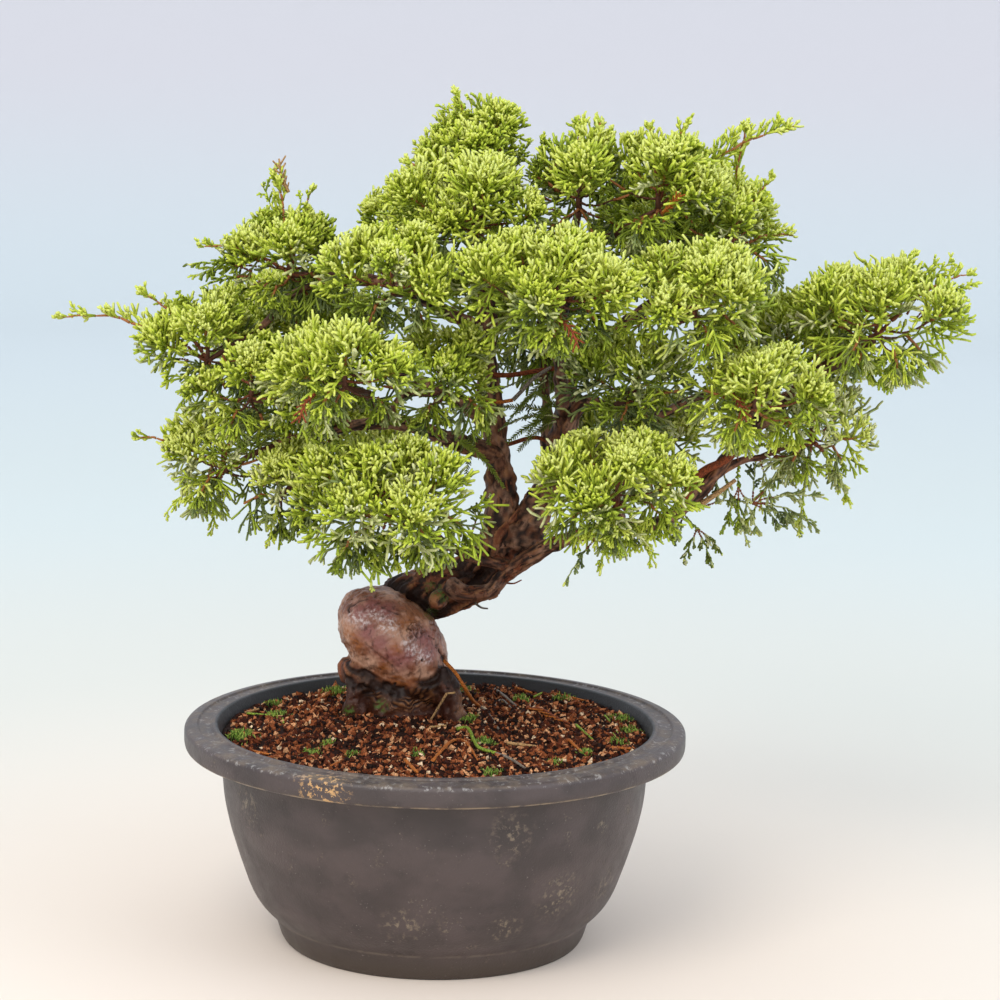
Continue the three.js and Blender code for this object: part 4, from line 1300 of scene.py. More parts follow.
def branch_out(growth, start, way, length, tone, kind, skin, generation=0):
    """Grows shoots from their starts along their ways, then their forks, down to the last generation."""
    random = growth.random
    _, thickness, _, lift, _ = TUFT_KINDS[kind]
    step = length * GENERATIONS[generation] * random.uniform(*STEP_LENGTHS, len(start))
    way = unit(way + (0, 0, lift))
    end = start + way * step[:, None]
    kept = in_own_place(growth.number, end, skin)
    start, end, way, length, tone, skin = [v[kept] for v in (start, end, way, length, tone, skin)]
    if not len(start):
        return
    radius = SHOOT_RADIUS * thickness * random.uniform(*SHOOT_RADII, len(start))
    if generation == len(GENERATIONS) - 1:
        growth.add("tip" if kind == "sunny" else "shoot", start, end, radius, tone)
        return
    growth.add("stalk", start, end, radius * STALK_SHARE, tone)
    children = fork(way, LEANS[generation], random).reshape(-1, 3)
    roots = (start[:, None] + (end - start)[:, None] * FORK_PLACES[:, None]).reshape(-1, 3)
    length, tone, skin = [np.repeat(v, FORKS) for v in (length, tone, skin)]
    branch_out(growth, roots, children, length, tone, kind, skin, generation + 1)

# %% [markdown]
# The greens run from the sunlit yellow green of new tips to the dull olive of old shoots underneath. The
# ramp also paints light and shade: a spray draws one place on it by how much it faces the sky and the
# front, lighter where it does, and each of its shoots is one step darker at the root, as the real cords are.

# %% Greens, from light to dark, then olives
GREENS = ["d2d976", "ced566", "c0cb47", "aebe3a", "98a932", "83932b", "6d7c24", "5b6620"]
OLIVES = ["cfd09a", "bdc084", "a9ae6f", "909a5a", "75834b", "5b693c"]
# How much darker and duller a pad is than the sunlit top, and how dense. The shift to darker is painted
# shade, and below zero it is painted light.
PAD_LOOKS = {
    "left_low": (-0.4, 0.25, 0.75), "left_low_inner": (0, 0.2, 0.9), "right_low": (-0.8, 0.75, 0.45),
    "left_centre": (-0.1, 0.1, 1), "back_left_low": (0.5, 0.3, 0.8), "back_right_low": (0.4, 0.4, 0.7),
    "back_left": (0.4, 0.1, 1), "back_right": (0.2, 0.2, 0.8), "centre_left": (0.3, 0.1, 0.9),
    "left_tip": (0.2, 0.1, 0.85), "front_left_low": (0, 0.12, 0.9), "centre_right": (0.3, 0.3, 0.9),
    "far_right": (-0.5, 0.05, 0.95), "right_mid": (-0.7, 0, 1), "front_centre": (-0.4, 0, 1),
    "right_upper_front": (-0.5, 0, 1), "front_right_low": (-0.4, 0, 1),
}
SKY = np.array([-0.1, -0.42, 0.9])
BURIED = 0.78
LOW = -0.3
# Tone with no sky in sight, what the sky takes off it, and its stray. The share of dull sprays likewise.
TONE_SHADED, TONE_BY_SKY, TONE_STRAY = 1.9, 1.5, 0.75
DULL_SHARE, DULL_BY_SHIFT, DULL_BY_SKY, DULL_MOST = 0.08, 0.06, 0.5, 0.85
OLIVE_STEP = 1.6


def spray_tone(facing, shift, dullness, random):
    """A place on the ramp, with painted light and shade: lighter where a spray faces the sky and the front,
    darker and more often olive underneath.
    """
    seen = facing @ (SKY / np.linalg.norm(SKY))
    # Painted light and shade: lower tones, which are lighter, where the spray faces the sky and the front.
    tone = TONE_SHADED - TONE_BY_SKY * seen + shift + random.normal(scale=TONE_STRAY, size=len(seen))
    chance = DULL_SHARE + dullness + DULL_BY_SHIFT * shift - DULL_BY_SKY * seen
    dull = random.random(len(seen)) < np.clip(chance, 0, DULL_MOST)
    fresh = np.clip(np.round(tone), 0, len(GREENS) - 3)
    old = len(GREENS) + np.clip(np.round(tone - OLIVE_STEP), 0, len(OLIVES) - 3)
    return np.where(dull, old, fresh).astype(int)

# %% Sprays that show singly
# Small ones at the edges of the crown, by pad: root, tip, arch, longest side spray, tone.
SMALL_SPRAYS = {
    "apex": [
        ((10, 26, 364), (-2, 24, 382), 0.06, 10, 2), ((9, 26, 362), (-5, 24, 373), 0.1, 10, 3),
        ((12, 26, 364), (4, 24, 387), 0.0, 9, 2), ((13, 26, 366), (11, 25, 385), 0.0, 9, 2),
        ((24, 24, 360), (32, 20, 376), 0.1, 11, 3), ((26, 22, 352), (34, 15, 362), 0.1, 11, 3),
        ((30, 20, 350), (40, 20, 367), 0.1, 11, 3), ((28, 22, 356), (40, 16, 360), 0.08, 11, 3),
        ((28, 20, 350), (39, 14, 348), 0.08, 11, 4),
    ],
    "crown_centre": [
        ((60, 30, 356), (59, 46, 376), 0.05, 12, 3), ((64, 30, 356), (71, 46, 373), 0.05, 12, 3),
        ((52, 18, 350), (43, 18, 369), 0.06, 12, 2), ((48, 18, 346), (36, 17, 358), 0.1, 12, 3),
        ((50, 14, 344), (38, 8, 354), 0.06, 12, 3), ((48, 12, 340), (35, 8, 344), 0.06, 12, 4),
        ((50, 10, 336), (36, 2, 335), 0.06, 12, 4),
    ],
    "far_right": [
        ((210, 8, 292), (224, 10, 318), 0.06, 12, 2), ((214, 8, 290), (236, 10, 306), 0.1, 13, 2),
        ((208, 8, 294), (214, 10, 314), 0.05, 12, 3), ((216, 8, 286), (233, 10, 293), 0.1, 13, 3),
        ((216, 10, 290), (244, 10, 307), 0.1, 10, 1), ((212, 10, 296), (231, 14, 317), 0.05, 12, 2),
    ],
    "left_tip": [
        ((-116, 0, 272), (-137, 0, 274), 0.12, 12, 3), ((-112, 0, 276), (-127, 0, 293), 0.06, 12, 2),
        ((-114, 0, 266), (-130, 0, 262), 0.12, 12, 4), ((-108, 0, 282), (-118, 0, 296), 0.05, 12, 3),
        ((-104, -2, 284), (-105, -6, 301), 0.0, 12, 4),
    ],
    "left_upper": [
        ((-86, 6, 306), (-114, 0, 309), 0.08, 12, 4), ((-86, 4, 304), (-109, -2, 299), 0.06, 12, 4),
        ((-82, 4, 302), (-99, -4, 291), 0.04, 12, 5), ((-78, 2, 302), (-88, -6, 290), 0.04, 12, 5),
        ((-84, 8, 308), (-112, 4, 303), 0.1, 12, 3), ((-72, 8, 322), (-82, 6, 346), 0.0, 12, 3),
        ((-66, 8, 322), (-64, 6, 342), 0.0, 11, 3),
    ],
    "right_low": [
        ((121, 4, 203), (143, 8, 204), 0.1, 3, 10), ((143, 8, 204), (174, 6, 192), 0.12, 11, 10),
        ((143, 8, 204), (166, 10, 189), 0.16, 9, 11), ((143, 8, 204), (178, 9, 206), 0.1, 10, 9),
        ((143, 8, 204), (160, 5, 222), 0.05, 10, 10), ((143, 8, 204), (157, 8, 193), 0.1, 8, 11),
        ((143, 8, 204), (144, 9, 225), 0.0, 8, 11), ((150, 12, 226), (188, 12, 211), 0.1, 10, 9),
        ((138, 6, 228), (155, 6, 233), 0.05, 5, 3), ((124, 4, 222), (119, 1, 207), 0.05, 9, 11),
        ((128, 5, 222), (134, 5, 202), 0.05, 10, 10), ((134, 5, 204), (141, 6, 186), 0.08, 10, 9),
        ((126, 5, 220), (126, 3, 204), 0.03, 9, 9), ((146, 8, 224), (152, 8, 204), 0.06, 10, 10),
        ((152, 8, 226), (166, 9, 214), 0.08, 11, 9),
    ],
    "front_right_low": [
        ((135, 2, 228), (136, 4, 212), 0.0, 3, 4), ((136, 4, 212), (130, 4, 192), 0.03, 8, 4),
        ((136, 4, 212), (146, 5, 190), 0.08, 9, 9), ((136, 4, 212), (137, 4, 191), 0.0, 8, 4),
        ((111, 4, 200), (118, 5, 192), 0.0, 3, 5), ((118, 5, 192), (112, 5, 177), 0.05, 10, 6),
        ((118, 5, 192), (126, 6, 174), 0.08, 11, 5), ((118, 5, 192), (130, 5, 180), 0.1, 9, 6),
        ((112, 6, 199), (107, 6, 187), 0.0, 6, 11), ((70, -44, 196), (56, -50, 175), 0.06, 7, 11),
    ],
    "front_left_low": [
        ((10, 20, 184), (-2, 4, 199), 0.1, 8, 4), ((14, 30, 182), (24, 20, 204), 0.1, 9, 5),
    ],
}
# Shoots with needles in the shade between the leaders: root, tip, arch, tone.
NEEDLE_SPRAYS = {
    "centre_left": [
        ((54, 31, 239), (25, 24, 243), 0.1, 6), ((54, 31, 239), (27, 22, 234), 0.12, 6),
        ((53, 31, 238), (31, 24, 228), 0.12, 5), ((53, 31, 237), (36, 26, 224), 0.1, 6),
        ((49, 30, 253), (30, 20, 237), 0.1, 5), ((48, 32, 256), (36, 24, 242), 0.1, 6),
        ((52, 33, 246), (40, 20, 232), 0.1, 5), ((54, 31, 242), (43, 22, 251), 0.1, 5),
        ((46, 32, 257), (24, 26, 250), 0.08, 6), ((48, 34, 258), (39, 30, 238), 0.06, 6),
        ((7, 22, 229), (29, 18, 208), 0.12, 4), ((22, 36, 254), (17, 20, 240), 0.1, 6),
        ((22, 36, 250), (8, 18, 236), 0.1, 6), ((20, 34, 246), (22, 18, 228), 0.1, 5),
        ((18, 34, 236), (12, 20, 214), 0.1, 6), ((16, 34, 232), (4, 22, 212), 0.1, 6),
    ],
}

# %% Ribs and tufts
RIB_TONES = [0, 2, 1]
RIB_TONE_SHARES = [0.45, 0.3, 0.25]
RIB_SPRAY_STRAY = 0.06
RIB_SPRAY_LEAN = 1.1
# Sprays along the ribs sit inside the pad, so they are painted this many steps darker as shade.
RIB_SPRAY_SHIFT = 0.6
MOOD_STRAY = 0.5


def grow_ribs(growth, kind, root, middle):
    """The ribs from a pad's leader to its tufts. Each sags by a parabola, and small forked sprays leave it
    by the golden angle, so that it isn't bare."""
    random = growth.random
    darker, duller, density = growth.looks
    chord = middle - root
    reach = np.linalg.norm(chord, axis=1)[:, None]
    bow = RIB_SAG * reach * (0.5 * random.normal(size=chord.shape) - (0, 0, 1))

    def at(share):
        return root + chord * share + bow * (4 * share * (1 - share))

    path = at(np.linspace(0, 1, RIB_STEPS + 1)[:, None, None])
    radius = np.repeat(np.linspace(*RIB_RADII, RIB_STEPS), len(root))
    tone = np.tile(random.choice(RIB_TONES, len(root), p=RIB_TONE_SHARES), RIB_STEPS)
    growth.add("twig", path[:-1].reshape(-1, 3), path[1:].reshape(-1, 3), radius, tone)
    places = RIB_SPRAYS[: max(1, round(len(RIB_SPRAYS) * density))]
    stray = random.uniform(-RIB_SPRAY_STRAY, RIB_SPRAY_STRAY, (len(places), len(root), 1))
    start = at(np.array(places)[:, None, None] + stray).reshape(-1, 3)
    slope = np.tile(unit(chord), (len(places), 1))
    side, other = square_to(slope, random)
    angle = (np.arange(len(places)) * GOLDEN)[:, None] + TAU * random.random(len(root))
    way = unit(slope + RIB_SPRAY_LEAN * turned_to(angle.ravel(), side, other))
    tone = spray_tone(way, TUFT_KINDS[kind][4] + darker + RIB_SPRAY_SHIFT, duller, random)
    length = random.uniform(*RIB_SPRAY_LENGTH, len(start))
    branch_out(growth, start, way, length, tone, kind, np.full(len(start), 1.05), 1)


def grow_tufts(growth, kind, middle, axis, reach):
    """Tufts of one kind: the branchlet up the middle of each, and its sprays with all their forks."""
    random = growth.random
    sprays, _, widest, _, shift = TUFT_KINDS[kind]
    darker, duller, density = growth.looks
    sprays = round(sprays * density)
    growth.add("twig", middle, middle + axis * (BRANCHLET * reach)[:, None], 0.8, 1)
    start, way, length = tuft_sprays(middle, axis, reach, sprays, widest, random)
    mood = np.repeat(random.normal(scale=MOOD_STRAY, size=len(middle)), sprays)
    tone = spray_tone(way, shift + darker + mood, duller, random)
    skin = np.repeat(random.uniform(0.95, 1.12, len(middle)), sprays)
    branch_out(growth, start, way, length, tone, kind, skin)

# %% One pad
TUFT_STRAY = 0.12
REACH_STRAY = (0.9, 1.12)
LEADER_CLIMB = 0.55
LOW_TUFT_UPWARD = -0.15
# Twigs that end at named tips: their radii at both ends. A long one's longest side spray, and its tone.
LONG_RADII = (1.1, 0.5)
SMALL_RADII = (0.6, 0.4)
LONG_SIDE = 15
LONG_TONE = 1.2


def grow_pad(number, pad, bough):
    """One pad: its stem, leader, ribs and tufts, and the long shoots and sprays to named tips."""
    growth = Growth(number)
    random = growth.random
    centre, size = PAD_AT[number], PAD_SIZE[number]
    heart = centre - (0, 0, HEART_DROP * size[2])
    _, path, radii = limbs[bough]
    growth.add("twig", path[-1:], heart[None], radii[1], 0)
    leader = np.array([0, 0, LEADER_RISE * size[2]])
    growth.add("twig", heart[None], (heart + leader)[None], min(radii[1], 1.5), 0)
    skin_area = 4 * math.pi * (size[0] * size[1] + size[1] * size[2] + size[2] * size[0]) / 3
    count = round(skin_area / TUFT_AREA)
    outward = unit(even_directions(count) + random.normal(scale=TUFT_STRAY, size=(count, 3)))
    share = random.uniform(*TUFT_PLACE, count)
    middle = centre + outward * size * share[:, None]
    kept = in_own_place(number, middle)
    middle, outward, share = middle[kept], outward[kept], share[kept]
    climbed = np.clip(LEADER_CLIMB * (middle[:, 2] - heart[2]) / leader[2], 0, 1)[:, None]
    root = heart + leader * climbed
    facing = unit(outward / size)
    reach = (1 - share) * np.linalg.norm(outward * size, axis=1) * random.uniform(*REACH_STRAY, len(share))
    reach = np.clip(reach, *TUFT_REACH)
    around = shares_of(centre + outward * size)
    around[:, number] = np.inf
    buried = around.min(1) < BURIED
    low = outward[:, 2] < LOW
    upward = np.where(low, LOW_TUFT_UPWARD, TUFT_UPWARD)[:, None] * np.array([0, 0, 1])
    axis = unit(facing + upward)
    for kind, mask in (("sunny", ~buried & ~low), ("shaded", ~buried & low), ("inner", buried)):
        if mask.any():
            grow_tufts(growth, kind, middle[mask], axis[mask], reach[mask])
            grow_ribs(growth, kind, root[mask], middle[mask])
    for tip in PAD_PLACES[pad][2]:
        kind = "sunny" if tip[2] > heart[2] else "shaded"
        long_shoot(growth, heart, tip, SHOOT_ARCH, LONG_RADII, LONG_SIDE, LONG_TONE, kind)
    for start, tip, arch, side, tone in SMALL_SPRAYS.get(pad, []):
        long_shoot(growth, start, tip, arch, SMALL_RADII, side, tone, "shaded")
    for start, tip, arch, tone in NEEDLE_SPRAYS.get(pad, []):
        needle_spray(growth, start, tip, arch, tone)
    return growth

# %% Long shoots and needles
LONG_POINTS = 15
LONG_SHAKE = 0.006
LONG_SPRAY_EVERY = 2.6
LONG_SPRAY_PLACE = (0.22, 0.95)
LONG_SPRAY_LEAN = 0.8
WOODY_PIECES = 4
NEEDLE_POINTS = 9
NEEDLE_EVERY = 0.95
NEEDLE_LEAN = 1.1
NEEDLE_RADIUS = 0.38


def arched(start, tip, arch, count, random):
    """A parabola from one point to another, raised in its middle by a share of its length, with a shake."""
    start, tip = np.array(start, float), np.array(tip, float)
    share = np.linspace(0, 1, count)[:, None]
    reach = np.linalg.norm(tip - start)
    path = start + (tip - start) * share + (0, 0, arch * reach) * (4 * share * (1 - share))
    path[1:-1] += random.normal(scale=LONG_SHAKE * reach, size=(count - 2, 3))
    return path, reach


def on_path(path, place):
    """Points at shares of a path, and the way it runs there."""
    share = np.linspace(0, 1, len(path))
    slope = read_between(place, share[:-1], np.diff(path, axis=0))
    return read_between(place, share, path), unit(slope)


def long_shoot(growth, start, tip, arch, thick, side, tone, kind):
    """A shoot that arches out of its pad to a named tip: a twig that grows thinner, and forked sprays
    about as long as "side" at most, that leave it by the golden angle."""
    random = growth.random
    path, reach = arched(start, tip, arch, LONG_POINTS, random)
    pieces = LONG_POINTS - 2
    radius = np.linspace(*thick, pieces)
    woody = pieces if kind == "sunny" else WOODY_PIECES
    twig_tone = np.repeat([2, 1], [WOODY_PIECES, woody - WOODY_PIECES])
    growth.add("twig", path[:woody], path[1 : woody + 1], radius[:woody], twig_tone)
    if woody < pieces:
        growth.add("stalk", path[woody:-2], path[woody + 1 : -1], radius[woody:], max(tone - 2, 0))
    growth.add("tip", path[-2:-1], path[-1:], SHOOT_RADIUS * 0.9, 0)
    count = max(8, int(reach / LONG_SPRAY_EVERY))
    place = np.sort(random.uniform(*LONG_SPRAY_PLACE, count))
    root, slope = on_path(path, place)
    across, other = square_to(slope, random)
    aside = turned_to(np.arange(count) * GOLDEN, across, other)
    way = unit(slope + LONG_SPRAY_LEAN * aside + (0, 0, arch))
    length = np.minimum(side, 6 + 0.25 * reach * (1 - place)) * random.uniform(0.9, 1.5, count)
    tones = tone + np.round(random.normal(0, 0.7, count))
    tones = np.clip(tones, 0 if tone < len(GREENS) else len(GREENS), None).astype(int)
    branch_out(growth, root, way, length, tones, kind, np.full(count, 9.0), 1)


def needle_spray(growth, start, tip, arch, tone):
    """Young growth in the shade keeps its needles: a thin twig with a pair of them at each millimetre,
    leaning forward, shorter towards the tip."""
    random = growth.random
    path, reach = arched(start, tip, arch, NEEDLE_POINTS, random)
    growth.add("stalk", path[:-1], path[1:], np.linspace(0.45, 0.3, NEEDLE_POINTS - 1), tone)
    count = int(reach / NEEDLE_EVERY)
    place = np.repeat(np.linspace(0.1, 1, count), 2)
    root, slope = on_path(path, place)
    across = unit(np.cross(slope, random.normal(size=3)))
    hand = np.tile([1, -1], count)[:, None]
    way = unit(slope + NEEDLE_LEAN * hand * across + random.normal(scale=0.16, size=slope.shape))
    length = (3.6 - 1.9 * place) * random.uniform(0.75, 1.15, len(place))
    growth.add("needle", root, root + way * length[:, None], NEEDLE_RADIUS, tone)

# %% Grow all the pads
bough_of = {pad: name for name, (pad, _, _) in limbs.items()}
growths = {pad: grow_pad(number, pad, bough_of[pad]) for number, pad in enumerate(PADS)}
print("grown:", {kind: sum(g.count(kind) for g in growths.values()) for kind in growths["apex"].kinds})

# %% [markdown]
# A shoot is drawn as a three-sided cord with a blunt point. The sunlit tips have a slight bow, three
# rings and sixteen triangles, the shoots in the shade two rings and ten. Shaded smooth, they look round.
# All shoots of a piece are one array. Twigs and blades of moss are drawn by the same functions.

# %% Draw the shoots
# Each kind of cord: rings as (share of the way, share of the radius), bow, and how many steps of the ramp
# each band of its faces is darker than its spray: the root's face, the bands, the point. Then its sides.
CORD_KINDS = {
    "tip": ([(0, 0.9), (0.55, 1.0), (1.0, 0.84)], 0.2, [1, 1, 0, 0], 3),
    "shoot": ([(0, 0.92), (1.0, 0.92)], 0.0, [1, 1, 0], 3),
    "stalk": ([(0, 1.0), (1.0, 0.96)], 0.0, [2, 2, 2], 3),
    "needle": ([(0, 1.0), (0.8, 0.7)], 0.0, [1, 1, 0], 3),
    "twig": ([(0, 1.0), (0.4, 0.9), (1.0, 0.72)], 0.07, [0, 0, 0, 0], 4),
    "blade": ([(0, 1.0), (1.0, 0.5)], 0.0, [0, 0, 0], 3),
}
SHOOT_KINDS = ("tip", "shoot", "stalk", "needle")
BLUNT = 0.6


def cords(start, end, radius, ring_table, bow, seed, sides):
    """Little tubes, all at once: rings at shares of the way with shares of the radius, their middle pushed
    aside by a bow, closed by a face at the root and a low point at the tip. The way of the rings stops
    short of the tip by a share of the radius, so that long and short cords are equally blunt."""
    random = np.random.default_rng(seed)
    way = end - start
    length = np.linalg.norm(way, axis=1, keepdims=True)
    side, other = square_to(way / length, random)
    share, factor = ring_table.T
    spoke = turned_to(all_round(sides), side[:, None], other[:, None])
    aside = (side * length * bow * random.uniform(-1, 1, (len(start), 1)))[:, None]
    ringed = way * np.maximum(1 - BLUNT * radius[:, None] / length, 0.3)
    centre = start[:, None] + ringed[:, None] * share[:, None] + aside * (4 * share * (1 - share))[:, None]
    reach = (radius[:, None] * factor)[..., None, None]
    grid = (centre[:, :, None] + reach * spoke[:, None]).reshape(len(start), -1, 3)
    return np.concatenate([grid, end[:, None]], 1)


def cord_faces(ring_count, sides):
    """One cord's faces: quads between its rings, then the root's triangles, then the tip's."""
    here = np.arange(sides) + (ring_count - 1) * sides
    tip = np.stack([here, np.roll(here, -1), np.full(sides, ring_count * sides)], 1)
    root = np.array([[0, sides - 1 - k, sides - 2 - k] for k in range(sides - 2)])
    return grid_faces(ring_count, sides), np.vstack([root, tip])


def drawn(kind, start, end, radius, tone, seed):
    """All cords of one kind: points, two face arrays, and the tones of the faces of each array."""
    ring_table, bow, shades, sides = CORD_KINDS[kind]
    points = cords(start, end, radius, np.array(ring_table), bow, seed, sides)
    quads, triangles = cord_faces(len(ring_table), sides)
    offset = (np.arange(len(start)) * points.shape[1])[:, None, None]
    faces = (quads + offset).reshape(-1, 4), (triangles + offset).reshape(-1, 3)
    quad_tone = tone[:, None] + np.repeat(shades[1:-1], sides)
    triangle_tone = tone[:, None] + np.repeat([shades[0], shades[-1]], [sides - 2, sides])
    return points.reshape(-1, 3), faces, quad_tone.ravel(), triangle_tone.ravel()


def corded_piece(name, parts, materials):
    """One piece from cords of several kinds, with each face in the material of its tone."""
    points, faces = gather([part[:2] for part in parts])
    tones = np.concatenate([part[2] for part in parts] + [part[3] for part in parts])
    return make_piece(name, points, faces, materials, np.minimum(tones, len(materials) - 1))


def from_pads(pads, kind):
    """Everything of one kind in some pads, as four arrays."""
    return [np.concatenate(column) for column in zip(*(growths[pad].all(kind) for pad in pads))]


def triangles_of(pad):
    """How many triangles the shoots of a pad take: six for each band between rings, one root, three tip."""
    return sum(growths[pad].count(kind) * (6 * len(CORD_KINDS[kind][0]) - 2) for kind in SHOOT_KINDS)

# %% Finish: scale-leaf green
def leaf_green(index, colour):
    """Living scale leaves: waxy, half rough, with a little light coming through. A plain colour each."""
    through = {"Subsurface_Weight": 0.12, "Subsurface_Radius": (0.0008, 0.001, 0.0003)}
    shine = {"IOR": 1.45, "Specular_IOR_Level": 0.38}
    name = "scale_leaf_" + str(index)
    return new_material(name, colour, 0.48, **shine, **through, Subsurface_Scale=1.0)[0]


LEAVES = [leaf_green(i, colour) for i, colour in enumerate(GREENS + OLIVES)]
PIECE_LIMIT = 190000

# %% Join the shoots into pieces
groups = [[]]
for pad in PADS:
    if sum(triangles_of(member) for member in groups[-1]) + triangles_of(pad) > PIECE_LIMIT:
        groups.append([])
    groups[-1].append(pad)
for index, group in enumerate(groups):
    kinds = [kind for kind in SHOOT_KINDS if sum(growths[pad].count(kind) for pad in group)]
    parts = [drawn(kind, *from_pads(group, kind), 700 + 10 * index + i) for i, kind in enumerate(kinds)]
    green = corded_piece("foliage_shoots_" + str(index + 1), parts, LEAVES)
    settle(green, "foliage", *("foliage_" + pad for pad in group))
print("triangles of foliage:", sum(triangles_of(pad) for pad in PADS))

# %% [markdown]
# Inside the pads the twigs are woody: reddish brown, thin, and paler orange where they are one year old.

# %% Draw the twigs
TWIG_COLOURS = ["5d3422", "9c6030", "7a4022", "3a2016"]


def plain_finishes(name, colours, roughness):
    """Plain materials, numbered, one for each colour."""
    return [new_material(name + "_" + str(i), colour, roughness)[0] for i, colour in enumerate(colours)]


twig_finish = plain_finishes("twig_bark", TWIG_COLOURS, 0.75)
twig_parts = [drawn("twig", *from_pads(PADS, "twig"), 900)]
settle(corded_piece("foliage_twigs", twig_parts, twig_finish), "foliage")

# %% [markdown]
# ## Dead twigs, litter and moss
#
# A few bare twigs are left inside the crown, and orange and grey ones have dropped on the soil with one
# whole brown sprig, between tufts of moss. Each is a thin tapering tube through a few points. A lying one
# is given by its place on the soil alone, and the soil's own height function lifts it.

# %% Tubes for twigs
LITTER_COLOURS = {
    "orange": "bd6c2c", "grey": "8d8074", "russet": "8a4426", "tan": "b78f60", "green": "8fa63a",
}
LITTER_KINDS = list(LITTER_COLOURS)
# Lying twigs: kind, radius at both ends, and places on the soil. The last one is the stem of a sprig.
LYING_TWIGS = [
    ("orange", (0.9, 0.6), [(0, -61), (8, -26), (12, -16)]),
    ("orange", (0.7, 0.4), [(12, -16), (16, -32), (20, -61)]),
    ("green", (0.9, 0.8), [(10, -3), (14, -1), (18, -20), (21, -38), (28, -46)]),
    ("grey", (0.8, 0.5), [(28, -46), (34, -54), (41, -64)]), ("orange", (0.8, 0.6), [(-67, 36), (-52, 66)]),
    ("tan", (0.7, 0.5), [(-90, 28), (-84, 34)]), ("russet", (0.7, 0.5), [(-53, 75), (-45, 74)]),
    ("orange", (0.6, 0.5), [(-80, -44), (-72, -52)]), ("orange", (0.9, 0.7), [(-12, -60), (-6, -82)]),
    ("orange", (0.7, 0.5), [(-44, -69), (-41, -62)]), ("tan", (0.7, 0.5), [(-3, 5), (5, 4)]),
    ("orange", (0.7, 0.4), [(56, 73), (71, 60)]), ("orange", (0.8, 0.6), [(61, -18), (66, -40)]),
    ("orange", (0.8, 0.6), [(80, -31), (89, -30)]), ("russet", (0.6, 0.4), [(78, 2), (88, -10)]),
    ("tan", (0.9, 0.6), [(33, -26), (46, -30)]), ("russet", (0.6, 0.4), [(-87, -7), (-76, -19)]),
    ("green", (0.6, 0.5), [(-89, 26), (-79, 21), (-73, 17)]), ("green", (0.6, 0.4), [(-72, 17), (-70, 2)]),
    ("green", (0.6, 0.4), [(46, 72), (50, 80)]), ("green", (0.7, 0.4), [(65, 13), (72, -10)]),
    ("green", (0.6, 0.4), [(79, 33), (81, 20)]), ("russet", (0.5, 0.4), [(-5, -2), (-3, -34)]),
    ("grey", (0.7, 0.5), [(27, 80), (32, 62), (37, 48)]),
    ("grey", (0.5, 0.4), [(27, 49), (30, 56), (35, 44)]),
    ("orange", (0.7, 0.5), [(37, 84), (45, 80)]),
    ("russet", (0.9, 0.4), [(42, 42), (49, 39), (55, 28), (62, 14)]),
]
# Twigs that lean on the foot from the soil: kind, radii, and points in space.
LEANING_TWIGS = [
    ("orange", (0.9, 0.8), [(3, 21, 125), (8.5, 18, 120), (12.5, 17, 114), (16, 26, 106), (20, 45, 97.6)]),
    ("grey", (0.8, 0.5), [(20, 45, 97.6), (24, 30, 98), (29, 2, 97.6)]),
    ("tan", (0.5, 0.5), [(8.5, 14, 111.4), (4.7, 12, 111.4)]),
    ("tan", (0.6, 0.5), [(4.7, 12, 111.4), (-3, 16, 97)]),
]
# Dead ones among the boughs, given the same way.
DEAD_TWIGS = [
    ("orange", (0.7, 0.9), [(16.7, 24, 249.5), (22.7, 24, 246.9), (26.8, 24, 246.5), (32.8, 24, 247.5)]),
    ("grey", (1.0, 0.8), [(32.8, 24, 247.5), (36.4, 25, 251.3), (41.8, 27, 257), (50, 33, 262)]),
    ("russet", (1.3, 1.1), [
        (22, 44, 256.5), (31.2, 38, 257.3), (40.5, 38, 258.9), (49.7, 38, 260.5), (57, 37, 262),
    ]),
    ("russet", (1.0, 1.0), [
        (27, 47, 222), (33, 44, 224.5), (41.2, 42, 227.4), (46, 42, 227.3), (55, 40, 222),
    ]),
    ("grey", (0.6, 0.4), [(17, 38, 149), (20, 36, 147.4), (23, 35, 147.2)]),
    ("russet", (0.5, 0.3), [(31.5, 33, 160), (35, 31, 160.3), (38.5, 31, 162)]),
    ("russet", (2.0, 1.8), [
        (111, -2, 207), (116, -3, 217), (121, -4, 221.5), (128, -4, 225), (137, 1, 232),
    ]),
    ("tan", (1.5, 0.9), [(116, -3, 203), (124, -5, 209.3), (129, -5, 213), (134, -5, 217)]),
]
# Dead sprigs that hang in the crown: kind, and points from root to tip.
HUNG_SPRIGS = [
    ("russet", [(50, -72, 296), (56, -78, 292), (60, -82, 284)]),
    ("russet", [(-52, -78, 262), (-56, -84, 258), (-58, -88, 251)]),
    ("orange", [(97, -13, 337), (101, -21, 342), (104, -28, 347)]),
    ("tan", [(-70, 8, 342), (-73, 5, 350), (-74, 4, 357)]),
    ("russet", [(128, -50, 262), (131, -60, 258), (133, -66, 252)]),
]


def thin_twigs(name, slot, rows):
    """A piece of tapering six-sided tubes through named points, each in the finish of its kind."""
    grids = [tapered(points, radii, rows=6 * len(points), columns=6) for _, radii, points in rows]
    points, faces = gather([capped_tube(grid) for grid in grids])
    kind = np.array([LITTER_KINDS.index(row[0]) for row in rows])
    bands = [(grid.shape[0] - 1) * grid.shape[1] for grid in grids]
    finish = np.concatenate([np.repeat(kind, bands), np.repeat(kind, 2 * grids[0].shape[1])])
    settle(make_piece(name, points, faces, litter_finish, finish), slot)


def laid(points, radius):
    """Places on the soil, lifted to its surface, and a little more in the middle of the twig."""
    x, y = np.array(points, float).T
    arch = 0.5 * np.sin(np.linspace(0, TAU / 2, len(x)))
    return np.stack([x, y, soil_height(x, y) + 0.9 * radius + 0.5 + arch], 1)

